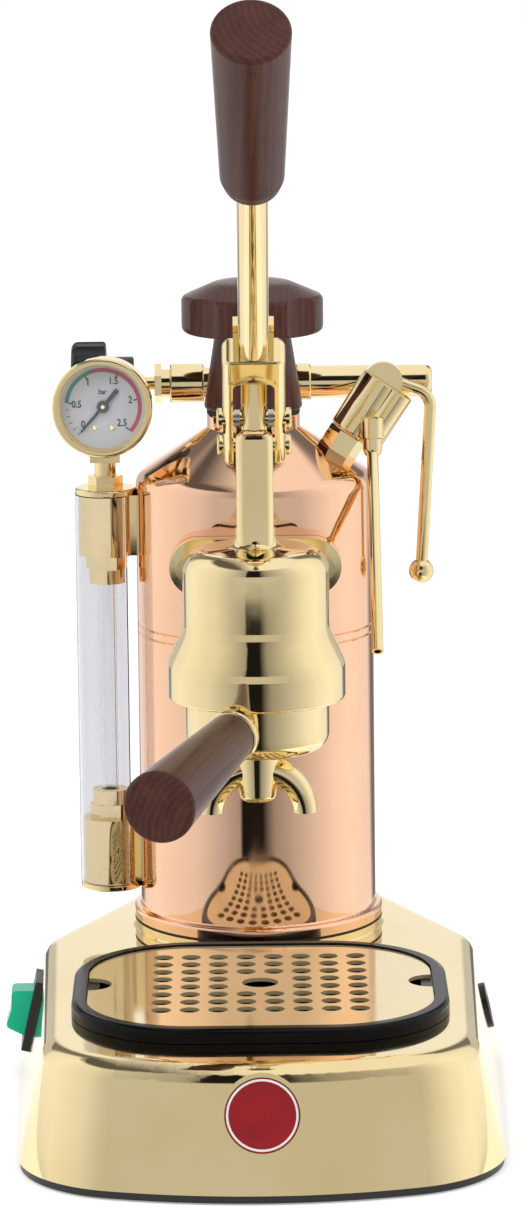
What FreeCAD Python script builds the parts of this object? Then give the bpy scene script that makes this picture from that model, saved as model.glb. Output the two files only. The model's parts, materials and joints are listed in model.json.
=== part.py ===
# Lever espresso machine: a copper boiler on a pressed brass base, with a hand-levered piston group.
# Millimetres. Z points up, the floor is Z = 0, the boiler's axis is the Z axis and the front faces -Y.
import FreeCAD
import Part
import math
import os

# Fits
FIT = 0.05              # radial running clearance of a pin or shaft
GAP = 0.4               # air between pieces that move past each other
CLEAR = 1.0             # room round a piece that drops into an opening
TINY = 1e-6
SLIVER = 0.01           # flat left between two roundings that almost meet

# Base
BASE_TOP = 54.0         # height of the flat top
BASE_BOTTOM = 4.0       # lower edge of the pressed shell
BASE_WALL = 1.6
BASE_DRAFT = 13.0       # degrees that the walls lean out
BASE_EDGE_R = 9.0       # rounding of the top edge
BASE_FRONT = 236.0      # front of the top, where its two slanted halves would meet
BASE_FRONT_ARC = 200.0  # radius of the bowed front
BASE_CORNER_X = 86.5
BASE_CORNER_Y = 212.0
BASE_CORNER_R = 40.0
BASE_SIDE_X = 91.5      # widest place of the top
BASE_SIDE_Y = 25.0
BASE_SIDE_R = 28.0
BASE_REAR_X = 52.7
BASE_REAR_Y = 60.0
BASE_REAR_R = 20.0
RIM_LIFT = 0.8          # air under the black rim
RIM_INSET = 0.8
RIM_WIDTH = 5.0
RIM_LIP = 5.0           # how far the rim reaches up inside the shell
PLATE_T = 1.5
MAT_T = 2.0             # rubber mat that the machine stands on
MAT_INSET = 6.0
BADGE_R = 16.8
BADGE_T = 1.6
BADGE_RING = 1.8
BADGE_Z = 35.0
SWITCH_Y = -42.0
SWITCH_Z = 26.5
SWITCH_H = 31.0
SWITCH_W = 23.0
SWITCH_T = 2.2
SWITCH_RIM = 3.0
SWITCH_DEPTH = 16.0
ROCKER_OUT = 11.5        # how far the rocker's high end stands out of the bezel
ROCKER_TILT = 9.0
TRUNNION_R = 1.5        # round ends that the rocker turns on
TRUNNION = 0.9
ROCKER_LEAN = 0.22       # how much the rocker's ends lean in, per mm they stand out
GLAND_R = 9.8
GLAND_BORE = 4.2
GLAND_OUT = 1.4
GLAND_STEM_R = 7.0
GLAND_STEM = 9.0

# Boiler
COLLAR_H = 3.8          # raised ring of the base under the boiler
FOOT_GASKET_T = 1.2
BOILER_R = 51.2
BOILER_WALL = 1.8
BOILER_H = 194.0        # foot to shoulder
MOUTH_IN = 8.2          # width of the boiler's bottom ledge
FLANGE_OUT = 2.8        # how far the foot flange stands out of the boiler
FLANGE_T = 5.0
FOOT_FILLET = 4.0
SEAM_H = 128.0          # height of the seam above the foot
SEAM_W = 3.6
SEAM_DEEP = 0.5
SHOULDER_R = 8.0
CONE_H = 20.5
NECK_R = 20.0
NECK_WALL = 4.0
NECK_SEAT = 2.0         # ledge of the dome that the neck's collar sits on
NECK_BELOW = 6.0        # how far the neck reaches down inside the dome
DOME_SKIRT = 9.0        # straight edge of the dome below its shoulder
NECK_H = 6.0
NECK_EDGE_R = 0.8
FOOT_SEAT = 7.4         # width of the boiler's seat on the base
RING_NUT_GRIP = 6.4     # how far the ring nut reaches under the base
RING_NUT_T = 5.4
RING_NUT_W = 15.0
ELEMENT_R = 4.0
ELEMENT_HALF = 20.0     # half the spacing of the element's legs
ELEMENT_H = 38.0

# Drip tray
TRAY_W = 155.0
TRAY_D = 141.5
TRAY_R = 50.0
TRAY_GAP = 1.5          # air between the tray and the boiler's collar
TRAY_STAND = 6.0        # how far the rim stands above the base
TRAY_RIM = 6.0
TRAY_EDGE_R = 2.6
TRAY_TUB_IN = 9.0
TRAY_WALL = 1.8
TRAY_TUB_DEPTH = 15.0
TRAY_LIFT = 0.2         # air under the rim
GRID_T = 1.6
GRID_SINK = 0.9         # how far the grid lies below the rim
GRID_SLACK = 0.5
GRID_ROWS = 8
GRID_PITCH_X = 11.55
GRID_PITCH_Y = 11.9
GRID_HOLE_R = 4.1
GRID_BACK_SHIFT = 4.6   # the hole field sits this far behind the middle of the grid
GRID_DRAIN_R = 7.5
NOTCH_R = 9.6

# Group
PAD_H = 165.5           # middle of the group's pad above the boiler's foot
PAD_HALF_W = 34.0
PAD_R = 11.5
PAD_OUT = 10.8          # how far the pad's face stands off the boiler
GROUP_GASKET_T = 1.0
GROUP_FLANGE_T = 8.0
GROUP_FLANGE_HALF_W = 36.0
GROUP_FLANGE_R = 12.0
GROUP_REACH = 35.0      # flange's back face to the cylinder's axis
GROUP_NECK_R = 12.0
GROUP_DROP = 49.3       # pad's middle to the group's lower rim
BELL_R = 30.3
BELL_TOP = 63.5         # height of the dome above the lower rim
BELL_EDGE_R = 9.0
BELL_RIM_R = 36.9
BELL_RIM_H = 14.0
BELL_FLARE_H = 29.0
BELL_CURVE_R = 12.0
SLEEVE_R = 27.2
CYLINDER_R = 25.0
CYLINDER_TOP = 58.0     # height of the cylinder's ceiling above the lower rim
LIP_H = 3.3             # bayonet lip
LIP_GAP = 0.7
EAR_OUT = 2.9
EAR_T = 2.8
EAR_ANGLE = 44.0
EAR_UNLOCK = 45.0       # degrees the handle turns to the left to free the ears
EAR_SLACK = 0.5
SEAL_H = 8.2            # height of the portafilter seal above the lower rim
SEAL_T = 2.6
SEAL_BORE = 25.6
SCREEN_R = 26.5
SCREEN_T = 1.2
SCREEN_HOLE_R = 1.5
BOLT_R = 3.0
BOLT_HEAD_R = 5.0
BOLT_HEAD_T = 4.5
BOLT_X = 28.5
BOLT_DEEP = 6.0

# Column, fulcrum and piston
COLUMN_TOP = 112.5      # above the group's lower rim
COLUMN_HALF_W = 7.7
COLUMN_FRONT = 8.5      # front of the column ahead of the piston's axis
COLUMN_EDGE_R = 4.5
TRUMPET_R = 8.4
TRUMPET_H = 8.0
TRUMPET_FILLET = 9.0
FULCRUM_BACK = 20.0     # fulcrum behind the piston's axis
FULCRUM_DROP = 14.1     # fulcrum below the rod pin
FULCRUM_R = 3.0
LUG_R = 7.6
ROD_PIN_RISE = 4.1      # rod pin above the column at rest
ROD_PIN_R = 2.75
PIN_HEAD_R = 4.4
PIN_HEAD_T = 2.2
ROLLER_R = 3.6
ROD_R = 5.35
ROD_ABOVE_PIN = 16.0
PISTON_H = 12.0
PISTON_TOP_ROOM = 3.2   # air over the piston at rest
RING_T = 2.4
RING_DEEP = 1.6
PISTON_DOWN = 29.8      # piston travel below the rest place

# Lever
LEVER_ANGLE = 43.3      # above the horizon at rest
FORK_HALF_W = 12.8
FORK_SLOT_HALF_W = 8.5
FORK_HALF_H = 7.0
FORK_END_R = 9.0
FORK_CROTCH = 53.0      # fulcrum to the bottom of the slot
FORK_LENGTH = 68.0
FORK_CROTCH_R = 3.5
FORK_LOW_R = 1.0
FORK_TOP_R = 3.0
TAIL_LENGTH = 15.0
TAIL_HALF_W = 8.25
TAIL_LOW = 1.0
PIN_SLOT_NEAR = 20.0    # rod pin's nearest and farthest place from the fulcrum along the fork
PIN_SLOT_FAR = 26.0
PIN_SLOT_LOW = 3.4      # rod pin's track below the lever's axis
PIN_SLOT_HALF_W = 4.1
LEVER_R = 6.2
LEVER_SEAT = 12.0       # length of lever rod inside the fork and inside the handle
GRIP_START = 176.5      # fulcrum to the wooden handle
GRIP_LENGTH = 95.0
GRIP_NECK_R = 10.6
GRIP_END_R = 15.3
GRIP_EDGE_R = 2.0
GRIP_SHOULDER = 7.0

# Portafilter
BOWL_R = 30.1
BOWL_WALL = 2.5
BOWL_BELOW = 22.2       # bowl's underside below the group's rim
BOWL_FLOOR = 3.0
BOWL_EDGE_R = 8.0
BOWL_ABOVE = 6.5        # bowl's edge above the group's rim
BASKET_BORE = 25.6
BASKET_WALL = 0.7
BASKET_DEPTH = 19.0
BASKET_LIP_R = 28.8
BASKET_LIP_T = 1.1
OUTLET_R = 4.0
HUB_TOP_R = 9.7
HUB_LOW_R = 7.4
HUB_H = 22.0
SPOUT_R = 4.8
SPOUT_ROOT_R = 6.3
SPOUT_BORE = 3.2
SPOUT_BEND = 18.5
SPOUT_FROM = 1.0
SPOUT_TIP = 27.0        # bend's centre below the bowl
HANDLE_TURN = 15.0      # handle's angle to the left of the front
HANDLE_DROOP = 2.6
HANDLE_DROP = 6.4       # handle's axis below the group's rim, at the bowl
FERRULE_R = 11.2
FERRULE_LENGTH = 6.0
FERRULE_BORE = 4.0
HANDLE_LENGTH = 107.0
HANDLE_NECK_R = 10.2
HANDLE_END_R = 14.6

# Boiler cap
CAP_GASKET_T = 1.5
CAP_STEM_R = 21.4
CAP_STEM_TOP_R = 16.1
CAP_STEM_H = 33.3
CAP_KNOB_R = 30.4
CAP_KNOB_SIDE = 15.5
CAP_KNOB_DOME = 8.5
CAP_CROWN_R = 16.0
CAP_CROWN_H = 2.2
CAP_EDGE_R = 3.0
CAP_FLUTE_R = 26.0
CAP_FLUTE_DEEP = 2.6
CAP_PLUG_LENGTH = 11.5
CAP_THREAD = 2.2        # height of the plug's thread, which the plug is modelled without
CAP_STUD_R = 6.0
CAP_STUD_H = 22.0

# Valve line behind the cap
LINE_BACK = 10.0        # line's axis behind the boiler's neck
LINE_RISE = 8.5         # line's axis above the boiler's neck
LINE_R = 6.75
RISER_R = 5.6
TEE_LEFT = 21.3
TEE_RIGHT = 18.7
SAFETY_COLLAR_R = 8.05
SAFETY_COLLAR = 6.5
SAFETY_R = 7.05
SAFETY_LENGTH = 52.7
SAFETY_END_R = 3.0
VENT_R = 8.5
VENT_LENGTH = 14.8
VENT_NECK_R = 6.2
VENT_NECK = 3.6
VENT_NUT = 15.0
VENT_NUT_T = 3.0
VENT_SPINDLE_R = 3.0
VENT_SPINDLE = 20.0     # spindle outside the nut
VENT_HUB_R = 11.8
VENT_HUB = 12.0
VENT_KNOB_R = 18.4
VENT_KNOB_T = 15.0
VENT_KNOB_GAP = 9.0     # bare spindle between the nut and the knob

# Sight glass and gauge
SIGHT_GAP = 0.8         # air between the sight glass blocks and the boiler
BLOCK_R = 12.0
SADDLE_HALF_W = 6.0
UPPER_DROP = 34.5       # upper block below the boiler's shoulder
UPPER_H = 26.2
LOWER_RISE = 15.1       # lower block above the boiler's foot
LOWER_H = 28.2
SIGHT_FLANGE_R = 13.2
SIGHT_FLANGE_T = 3.0
SIGHT_NUT = 15.4        # across flats
SIGHT_NUT_H = 12.4
TUBE_R = 3.7
TUBE_WALL = 1.0
TUBE_SEAT = 6.0
GUARD_R = 13.4
GUARD_WALL = 1.0
GUARD_OPEN = 100.0      # degrees of the guard that are open towards the boiler
GAUGE_NUT = 13.0
GAUGE_NUT_H = 5.0
GAUGE_NECK_R = 4.6
GAUGE_STEM_H = 15.6
GAUGE_R = 20.2
GAUGE_DEPTH = 17.0
GAUGE_BACK_WALL = 2.0
GAUGE_BEZEL_R = 21.5
GAUGE_BEZEL_LIP = 18.6
GAUGE_BEZEL_DEPTH = 7.0
GAUGE_TURN = 3.0        # degrees to the left of the front
GAUGE_LEAD = 1.0        # stem behind the middle of the case
DIAL_DEEP = 5.0         # dial below the front of the case
DIAL_T = 0.8
LENS_T = 1.5
NEEDLE_T = 0.8
NEEDLE_HUB_R = 2.6
NEEDLE_LENGTH = 14.6
NEEDLE_TAIL = 9.5
NEEDLE_W = 2.0
NEEDLE_ZERO = 229.0     # dial angle of zero, anticlockwise from three o'clock
NEEDLE_HOLE_R = 0.8

# Steam tap
TAP_IN = 14.9           # tap's foot inside the boiler's edge
TAP_NUT = 15.0
TAP_NUT_T = 8.5
TAP_BODY_R = 9.3
TAP_BODY = 27.0
TAP_LOBE_R = 6.0
TAP_LOBE_OUT = 8.5
TAP_LOBE_FRONT = 4.5
CAM_R = 8.4
CAM_T = 6.0
CAM_PIN_R = 1.6
TAP_LEVER_R = 2.6
TAP_LEVER_OUT = 20.5    # hub to the lever's upright run
TAP_LEVER_DIP = 6.0
TAP_LEVER_BEND = 8.0
TAP_LEVER_DROP = 83.0   # hub to the ball
TAP_BALL_IN = 4.5       # ball inside the bend
TAP_BALL_R = 5.4
WAND_R = 2.5
WAND_BORE = 1.5
WAND_HEAD_R = 4.2
WAND_SPIGOT_R = 2.2
WAND_SPIGOT = 6.0
WAND_BOSS_R = 4.9
WAND_BOSS_H = 8.5
WAND_OUT = 2.7          # swivel beside, ahead of and under the lower end of the tap's lobe
WAND_AHEAD = 6.0
WAND_DROP = 0.5
WAND_LEAN = 40.4        # degrees forward of straight down
WAND_LENGTH = 99.5

# Places worked out from the sizes
BOILER_Z = BASE_TOP + COLLAR_H + FOOT_GASKET_T
FLANGE_R = BOILER_R + FLANGE_OUT
BASE_HOLE_R = FLANGE_R - FOOT_SEAT
BOILER_MOUTH_R = BOILER_R - MOUTH_IN
RING_NUT_R = BASE_HOLE_R + RING_NUT_GRIP
RING_NUT_BORE = RING_NUT_R - RING_NUT_W
HEATER_FLANGE_T = COLLAR_H + FOOT_GASKET_T + BASE_WALL
SHOULDER_Z = BOILER_Z + BOILER_H
CONE_TOP = SHOULDER_Z + CONE_H
NECK_TOP = CONE_TOP + NECK_H
CONE_LEAN = math.atan2(CONE_H, BOILER_R - NECK_R)
PAD_Z = BOILER_Z + PAD_H
PAD_FACE = BOILER_R + PAD_OUT
FLANGE_BACK = PAD_FACE + GROUP_GASKET_T
GROUP_Y = -(FLANGE_BACK + GROUP_REACH)
GROUP_Z = PAD_Z - GROUP_DROP
COLUMN_Z = GROUP_Z + COLUMN_TOP
ROD_PIN_Z = COLUMN_Z + ROD_PIN_RISE
FULCRUM_Y = GROUP_Y + FULCRUM_BACK
FULCRUM_Z = ROD_PIN_Z - FULCRUM_DROP
TRAY_Y = -(FLANGE_R + TRAY_GAP + TRAY_D / 2)
TRAY_TOP = BASE_TOP + TRAY_STAND
GRID_TOP = TRAY_TOP - GRID_SINK
EAR_R = BOWL_R + EAR_OUT
RECESS_R = EAR_R + EAR_SLACK
BOSS_R = HANDLE_DROP - GAP
BOSS_END = BELL_RIM_R + 2 * GAP
CAP_Z = NECK_TOP + CAP_GASKET_T
LINE_Z = NECK_TOP + LINE_RISE
LINE_Y = NECK_R + LINE_BACK
TAP_R0 = BOILER_R - TAP_IN
SIGHT_X = -(BOILER_R + SIGHT_GAP + BLOCK_R)
UPPER_Z = SHOULDER_Z - UPPER_DROP
LOWER_Z = BOILER_Z + LOWER_RISE
SIGHT_TOP = UPPER_Z + UPPER_H + SIGHT_FLANGE_T
GAUGE_Z = SIGHT_TOP + GAUGE_STEM_H + GAUGE_R
WAND_HEAD_H = WAND_HEAD_R + GAP
DOWN = (0, 0, -1)
RIGHT = (1, 0, 0)
LEFT = (-1, 0, 0)
BACK = (0, 1, 0)
FRONT = (0, -1, 0)


def vec(point):
    return FreeCAD.Vector(*point)


def unit(a, b):
    length = math.hypot(a, b)
    return a / length, b / length


def shifted(point, direction, distance):
    return tuple(p + d * distance for p, d in zip(point, direction))


def corner_turn(corners, index):
    """Half the angle at an outline's corner, with the directions to its neighbours and between them."""
    here = corners[index]
    before = corners[index - 1]
    after = corners[(index + 1) % len(corners)]
    to_before = unit(before[0] - here[0], before[1] - here[1])
    to_after = unit(after[0] - here[0], after[1] - here[1])
    half = math.acos(to_before[0] * to_after[0] + to_before[1] * to_after[1]) / 2
    between = unit(to_before[0] + to_after[0], to_before[1] + to_after[1])
    return half, to_before, to_after, between


def rounded_wire(corners, place):
    """Closed wire through corners (a, b) or (a, b, radius); place turns (a, b) into a point in space."""
    ends = []
    for index, corner in enumerate(corners):
        here = corner[:2]
        radius = corner[2] if len(corner) > 2 else 0.0
        if radius == 0.0:
            ends.append((here, None, here))
            continue
        half, to_before, to_after, between = corner_turn(corners, index)
        reach = radius / math.tan(half)
        cut = radius / math.sin(half) - radius
        ends.append((shifted(here, to_before, reach), shifted(here, between, cut),
                     shifted(here, to_after, reach)))
    edges = []
    for index, (start, middle, end) in enumerate(ends):
        if middle:
            edges.append(Part.Arc(place(*start), place(*middle), place(*end)).toShape())
        following = ends[(index + 1) % len(ends)][0]
        if math.dist(end, following) > TINY:
            edges.append(Part.LineSegment(place(*end), place(*following)).toShape())
    return Part.Wire(edges)


def grown(corners, distance):
    """The same convex outline with every side moved outwards."""
    result = []
    for index, (a, b, radius) in enumerate(corners):
        half, _, _, between = corner_turn(corners, index)
        point = shifted((a, b), between, -distance / math.sin(half))
        result.append((point[0], point[1], radius + distance))
    return result


def flat_wire(corners, z):
    return rounded_wire(corners, lambda a, b: FreeCAD.Vector(a, b, z))


def slab(corners, z, height):
    return Part.Face(flat_wire(corners, z)).extrude(FreeCAD.Vector(0, 0, height))


def placed(shape, at, along):
    turn = FreeCAD.Rotation(FreeCAD.Vector(0, 0, 1), vec(along))
    shape.Placement = FreeCAD.Placement(vec(at), turn)
    return shape


def turned(corners, at=(0, 0, 0), along=(0, 0, 1)):
    """Solid of revolution from an outline of (radius, height) corners, on an axis through at."""
    face = Part.Face(rounded_wire(corners, lambda a, b: FreeCAD.Vector(a, 0, b)))
    solid = face.revolve(FreeCAD.Vector(0, 0, 0), FreeCAD.Vector(0, 0, 1), 360)
    return placed(solid, at, along)


def disc(radius, height, at, along=(0, 0, 1)):
    return Part.makeCylinder(radius, height, vec(at), vec(along))


def ring(outer, inner, height, at, along=(0, 0, 1)):
    return disc(outer, height, at, along).cut(disc(inner, height, at, along))


def hexagon(across_flats, height, at, along=(0, 0, 1)):
    """Hexagonal prism with one flat pair facing the front and back when it stands upright."""
    radius = across_flats / math.sqrt(3)
    points = [FreeCAD.Vector(radius * math.cos(math.radians(a)), radius * math.sin(math.radians(a)), 0)
              for a in range(0, 361, 60)]
    return placed(Part.Face(Part.makePolygon(points)).extrude(FreeCAD.Vector(0, 0, height)), at, along)


def fused(first, *others):
    return first.multiFuse(list(others)).removeSplitter()


def level_edges(shape, z):
    return [e for e in shape.Edges if all(abs(p.Z - z) < TINY for p in e.Vertexes)]


def oblong(width, depth, radius, y_mid):
    x = width / 2
    y = depth / 2
    return [(x, y_mid - y, radius), (x, y_mid + y, radius), (-x, y_mid + y, radius),
            (-x, y_mid - y, radius)]


def stadium(half_width, radius, z, y, depth):
    """Plate with round ends, standing across the front: from y, depth mm to the front."""
    x = half_width - radius
    corners = [(half_width, z - radius, radius - SLIVER), (half_width, z + radius, radius - SLIVER),
               (-half_width, z + radius, radius - SLIVER), (-half_width, z - radius, radius - SLIVER)]
    assert x > 0
    wire = rounded_wire(corners, lambda a, b: FreeCAD.Vector(a, y, b))
    return Part.Face(wire).extrude(FreeCAD.Vector(0, -depth, 0))


# Base

def base_corners(grow):
    right = [(BASE_CORNER_X, -BASE_CORNER_Y, BASE_CORNER_R), (BASE_SIDE_X, -BASE_SIDE_Y, BASE_SIDE_R),
             (BASE_REAR_X, BASE_REAR_Y, BASE_REAR_R)]
    left = [(-x, y, r) for x, y, r in reversed(right)]
    return grown([(0.0, -BASE_FRONT, BASE_FRONT_ARC)] + right + left, grow)


def base_growth(z):
    return (BASE_TOP - z) * math.tan(math.radians(BASE_DRAFT))


def base_block(inset, bottom, top, edge_radius):
    """Block with the base's leaning walls, each face inset from the outside of the shell."""
    side = inset / math.cos(math.radians(BASE_DRAFT))
    low = flat_wire(base_corners(base_growth(bottom) - side), bottom)
    high = flat_wire(base_corners(base_growth(top) - side), top)
    block = Part.makeLoft([low, high], True, True)
    return block.makeFillet(edge_radius, level_edges(block, top))


def wall_frame(start, end, y, z):
    """Point of a straight side wall of the base at a depth and height, and its outward direction."""
    share = (y - start[1]) / (end[1] - start[1])
    x = start[0] + share * (end[0] - start[0])
    nx, ny = unit(end[1] - start[1], start[0] - end[0])
    lean = math.radians(BASE_DRAFT)
    point = (x + nx * base_growth(z), y + ny * base_growth(z), z)
    return point, (nx * math.cos(lean), ny * math.cos(lean), math.sin(lean))


def side_wall(sign, y, z):
    front = (sign * BASE_CORNER_X, -BASE_CORNER_Y)
    rear = (sign * BASE_SIDE_X, -BASE_SIDE_Y)
    return wall_frame(front, rear, y, z) if sign > 0 else wall_frame(rear, front, y, z)


def wall_box(width, height, depth, at, along, sink):
    """Box on a leaning wall: width along the wall, height up it, depth outwards from sink mm inside."""
    box = Part.makeBox(width, height, depth, FreeCAD.Vector(-width / 2, -height / 2, -sink))
    out = vec(along)
    sideways = FreeCAD.Vector(-out.y, out.x, 0).normalize()
    up = out.cross(sideways)
    box.Placement = FreeCAD.Placement(vec(at), FreeCAD.Rotation(sideways, up, out, "ZXY"))
    return box


def front_wall():
    """Middle of the badge on the bowed front wall, and the wall's outward direction."""
    half, _, _, _ = corner_turn(base_corners(0.0), 0)
    bow = BASE_FRONT_ARC / math.sin(half) - BASE_FRONT_ARC
    lean = math.radians(BASE_DRAFT)
    y = -BASE_FRONT + bow - base_growth(BADGE_Z)
    return (0.0, y, BADGE_Z), (0.0, -math.cos(lean), math.sin(lean))


def tray_corners(grow):
    return grown(oblong(TRAY_W, TRAY_D, TRAY_R, TRAY_Y), grow)


def make_base():
    outside = base_block(0.0, BASE_BOTTOM, BASE_TOP, BASE_EDGE_R)
    inside = base_block(BASE_WALL, BASE_BOTTOM - BASE_WALL, BASE_TOP - BASE_WALL, BASE_EDGE_R - BASE_WALL)
    collar_top = BASE_TOP + COLLAR_H
    flare = TRAY_GAP / 2
    collar = turned([(BASE_HOLE_R, BASE_TOP - BASE_WALL), (FLANGE_R + flare, BASE_TOP - BASE_WALL),
                     (FLANGE_R + flare, BASE_TOP), (FLANGE_R, BASE_TOP + flare), (FLANGE_R, collar_top),
                     (BASE_HOLE_R, collar_top)])
    shell = fused(outside.cut(inside), collar)
    shell = shell.cut(disc(BASE_HOLE_R, collar_top, (0, 0, BASE_BOTTOM)))
    shell = shell.cut(slab(tray_corners(CLEAR - TRAY_TUB_IN), BASE_TOP - 2 * BASE_WALL, 3 * BASE_WALL))
    switch_at, switch_out = side_wall(-1, SWITCH_Y, SWITCH_Z)
    hole_w = SWITCH_W - 2 * SWITCH_RIM
    hole_h = SWITCH_H - 2 * SWITCH_RIM
    shell = shell.cut(wall_box(hole_w, hole_h, 4 * BASE_WALL, switch_at, switch_out, 2 * BASE_WALL))
    gland_at, gland_out = side_wall(1, SWITCH_Y, SWITCH_Z)
    shell = shell.cut(disc(GLAND_STEM_R, 4 * BASE_WALL, shifted(gland_at, gland_out, -2 * BASE_WALL),
                           gland_out))

    rim_out = base_corners(base_growth(BASE_BOTTOM) - RIM_INSET)
    lip_out = base_corners(base_growth(BASE_BOTTOM + RIM_LIP) - BASE_WALL - GAP)
    hollow = base_corners(base_growth(BASE_BOTTOM) - RIM_INSET - RIM_WIDTH)
    rim = slab(rim_out, RIM_LIFT, BASE_BOTTOM - RIM_LIFT).fuse(slab(lip_out, BASE_BOTTOM, RIM_LIP))
    rim = rim.cut(slab(hollow, RIM_LIFT, BASE_BOTTOM + RIM_LIP))
    plate = slab(hollow, MAT_T, PLATE_T)
    mat = slab(base_corners(base_growth(BASE_BOTTOM) - RIM_INSET - RIM_WIDTH - MAT_INSET), 0.0, MAT_T)

    badge_at, badge_out = front_wall()
    sunk = shifted(badge_at, badge_out, -BADGE_T)
    bezel = ring(BADGE_R, BADGE_R - BADGE_RING, 2 * BADGE_T + BADGE_T / 2, sunk, badge_out).cut(outside)
    badge = disc(BADGE_R - BADGE_RING, 2 * BADGE_T, sunk, badge_out).cut(outside)

    switch = wall_box(SWITCH_W, SWITCH_H, SWITCH_T, switch_at, switch_out, 0.0)
    body = wall_box(hole_w - GAP, hole_h - GAP, SWITCH_DEPTH, switch_at, switch_out, SWITCH_DEPTH)
    well = wall_box(hole_w - SWITCH_RIM, hole_h - SWITCH_RIM, SWITCH_DEPTH, switch_at, switch_out,
                    SWITCH_DEPTH - SWITCH_RIM)
    rocker = make_rocker(hole_w - SWITCH_RIM - 2 * GAP, hole_h - SWITCH_RIM - 2 * GAP, switch_at,
                         switch_out)

    gland = disc(GLAND_R, GLAND_OUT, gland_at, gland_out)
    stem_at = shifted(gland_at, gland_out, -GLAND_STEM)
    gland = gland.fuse(disc(GLAND_STEM_R - FIT, GLAND_STEM, stem_at, gland_out))
    gland = gland.cut(disc(GLAND_BORE, GLAND_STEM + 2 * GLAND_OUT, stem_at, gland_out))
    frame = fused(switch, body).cut(well)
    frame = frame.cut(trunnions(hole_w - SWITCH_RIM, TRUNNION + FIT, TRUNNION_R + FIT, switch_at,
                                switch_out))
    return {"base_shell": shell, "base_rim": rim, "base_plate": plate, "rubber_mat": mat,
            "badge_bezel": bezel, "badge_disc": badge, "switch_bezel": frame,
            "switch_rocker": rocker, "cord_gland": gland}


def trunnions(width, length, radius, at, along):
    """Round bar across the rocker's pivot, length mm longer than width at each end."""
    sideways = FreeCAD.Vector(-along[1], along[0], 0).normalize()
    return Part.makeCylinder(radius, width + 2 * length, vec(at) - sideways * (width / 2 + length),
                             sideways)


def make_rocker(width, height, at, along):
    """Rocker with two slanted faces that meet in the middle; its high end points up."""
    tilt = math.tan(math.radians(ROCKER_TILT)) * height / 2
    inside = SWITCH_DEPTH / 3
    taper = height / 9
    lean = ROCKER_LEAN * ROCKER_OUT
    outline = [(-height / 2 + taper, -inside), (height / 2 - taper, -inside), (height / 2, 0.0),
               (height / 2 - lean, ROCKER_OUT, SWITCH_T), (0.0, ROCKER_OUT - tilt),
               (-height / 2 + lean, ROCKER_OUT - tilt / 2, SWITCH_T), (-height / 2, 0.0)]
    wire = rounded_wire(outline, lambda a, b: FreeCAD.Vector(-width / 2, a, b))
    solid = Part.Face(wire).extrude(FreeCAD.Vector(width, 0, 0))
    out = vec(along)
    sideways = FreeCAD.Vector(-out.y, out.x, 0).normalize()
    solid.Placement = FreeCAD.Placement(vec(at), FreeCAD.Rotation(sideways, out.cross(sideways), out,
                                                                  "ZXY"))
    return fused(solid, trunnions(width + 2 * GAP, TRUNNION - FIT, TRUNNION_R, at, along))


# Drip tray

def make_tray():
    rim_z = BASE_TOP + TRAY_LIFT
    ledge_z = GRID_TOP - GRID_T
    tub_z = BASE_TOP - TRAY_TUB_DEPTH
    rim = slab(tray_corners(0.0), rim_z, TRAY_TOP - rim_z)
    rim = rim.makeFillet(TRAY_EDGE_R, level_edges(rim, TRAY_TOP))
    tray = fused(rim, slab(tray_corners(-TRAY_TUB_IN), tub_z, rim_z - tub_z))
    tray = tray.cut(slab(tray_corners(-TRAY_RIM), ledge_z, TRAY_TOP))
    tray = tray.cut(slab(tray_corners(-TRAY_TUB_IN - TRAY_WALL), tub_z + TRAY_WALL, TRAY_TOP))

    grid = slab(tray_corners(-TRAY_RIM - GRID_SLACK), ledge_z, GRID_T)
    middle_y = TRAY_Y + GRID_BACK_SHIFT
    holes = [disc(GRID_DRAIN_R, GRID_T, (0, middle_y, ledge_z))]
    centre = (GRID_ROWS - 1) / 2
    for row in range(GRID_ROWS):
        for column in range(GRID_ROWS):
            if max(abs(row - centre), abs(column - centre)) > 1:
                x = (column - centre) * GRID_PITCH_X
                y = middle_y + (row - centre) * GRID_PITCH_Y
                holes.append(disc(GRID_HOLE_R, GRID_T, (x, y, ledge_z)))
    edge = TRAY_W / 2 - TRAY_RIM - GRID_SLACK
    holes += [disc(NOTCH_R, GRID_T, (side * edge, middle_y, ledge_z)) for side in (-1, 1)]
    return {"drip_tray": tray, "drip_grid": grid.cut(Part.makeCompound(holes))}


# Boiler

def boiler_outline(inset):
    """Radius and height corners of the boiler's wall at its shoulder and its neck, inset from outside."""
    lean = math.tan(CONE_LEAN / 2)
    drop = inset * math.tan((math.pi / 2 - CONE_LEAN) / 2)
    return [(BOILER_R - inset, SHOULDER_Z - drop, SHOULDER_R - inset),
            (NECK_R - (NECK_SEAT if inset else 0.0),
             CONE_TOP - (inset + NECK_SEAT * lean if inset else 0.0))]


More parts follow.
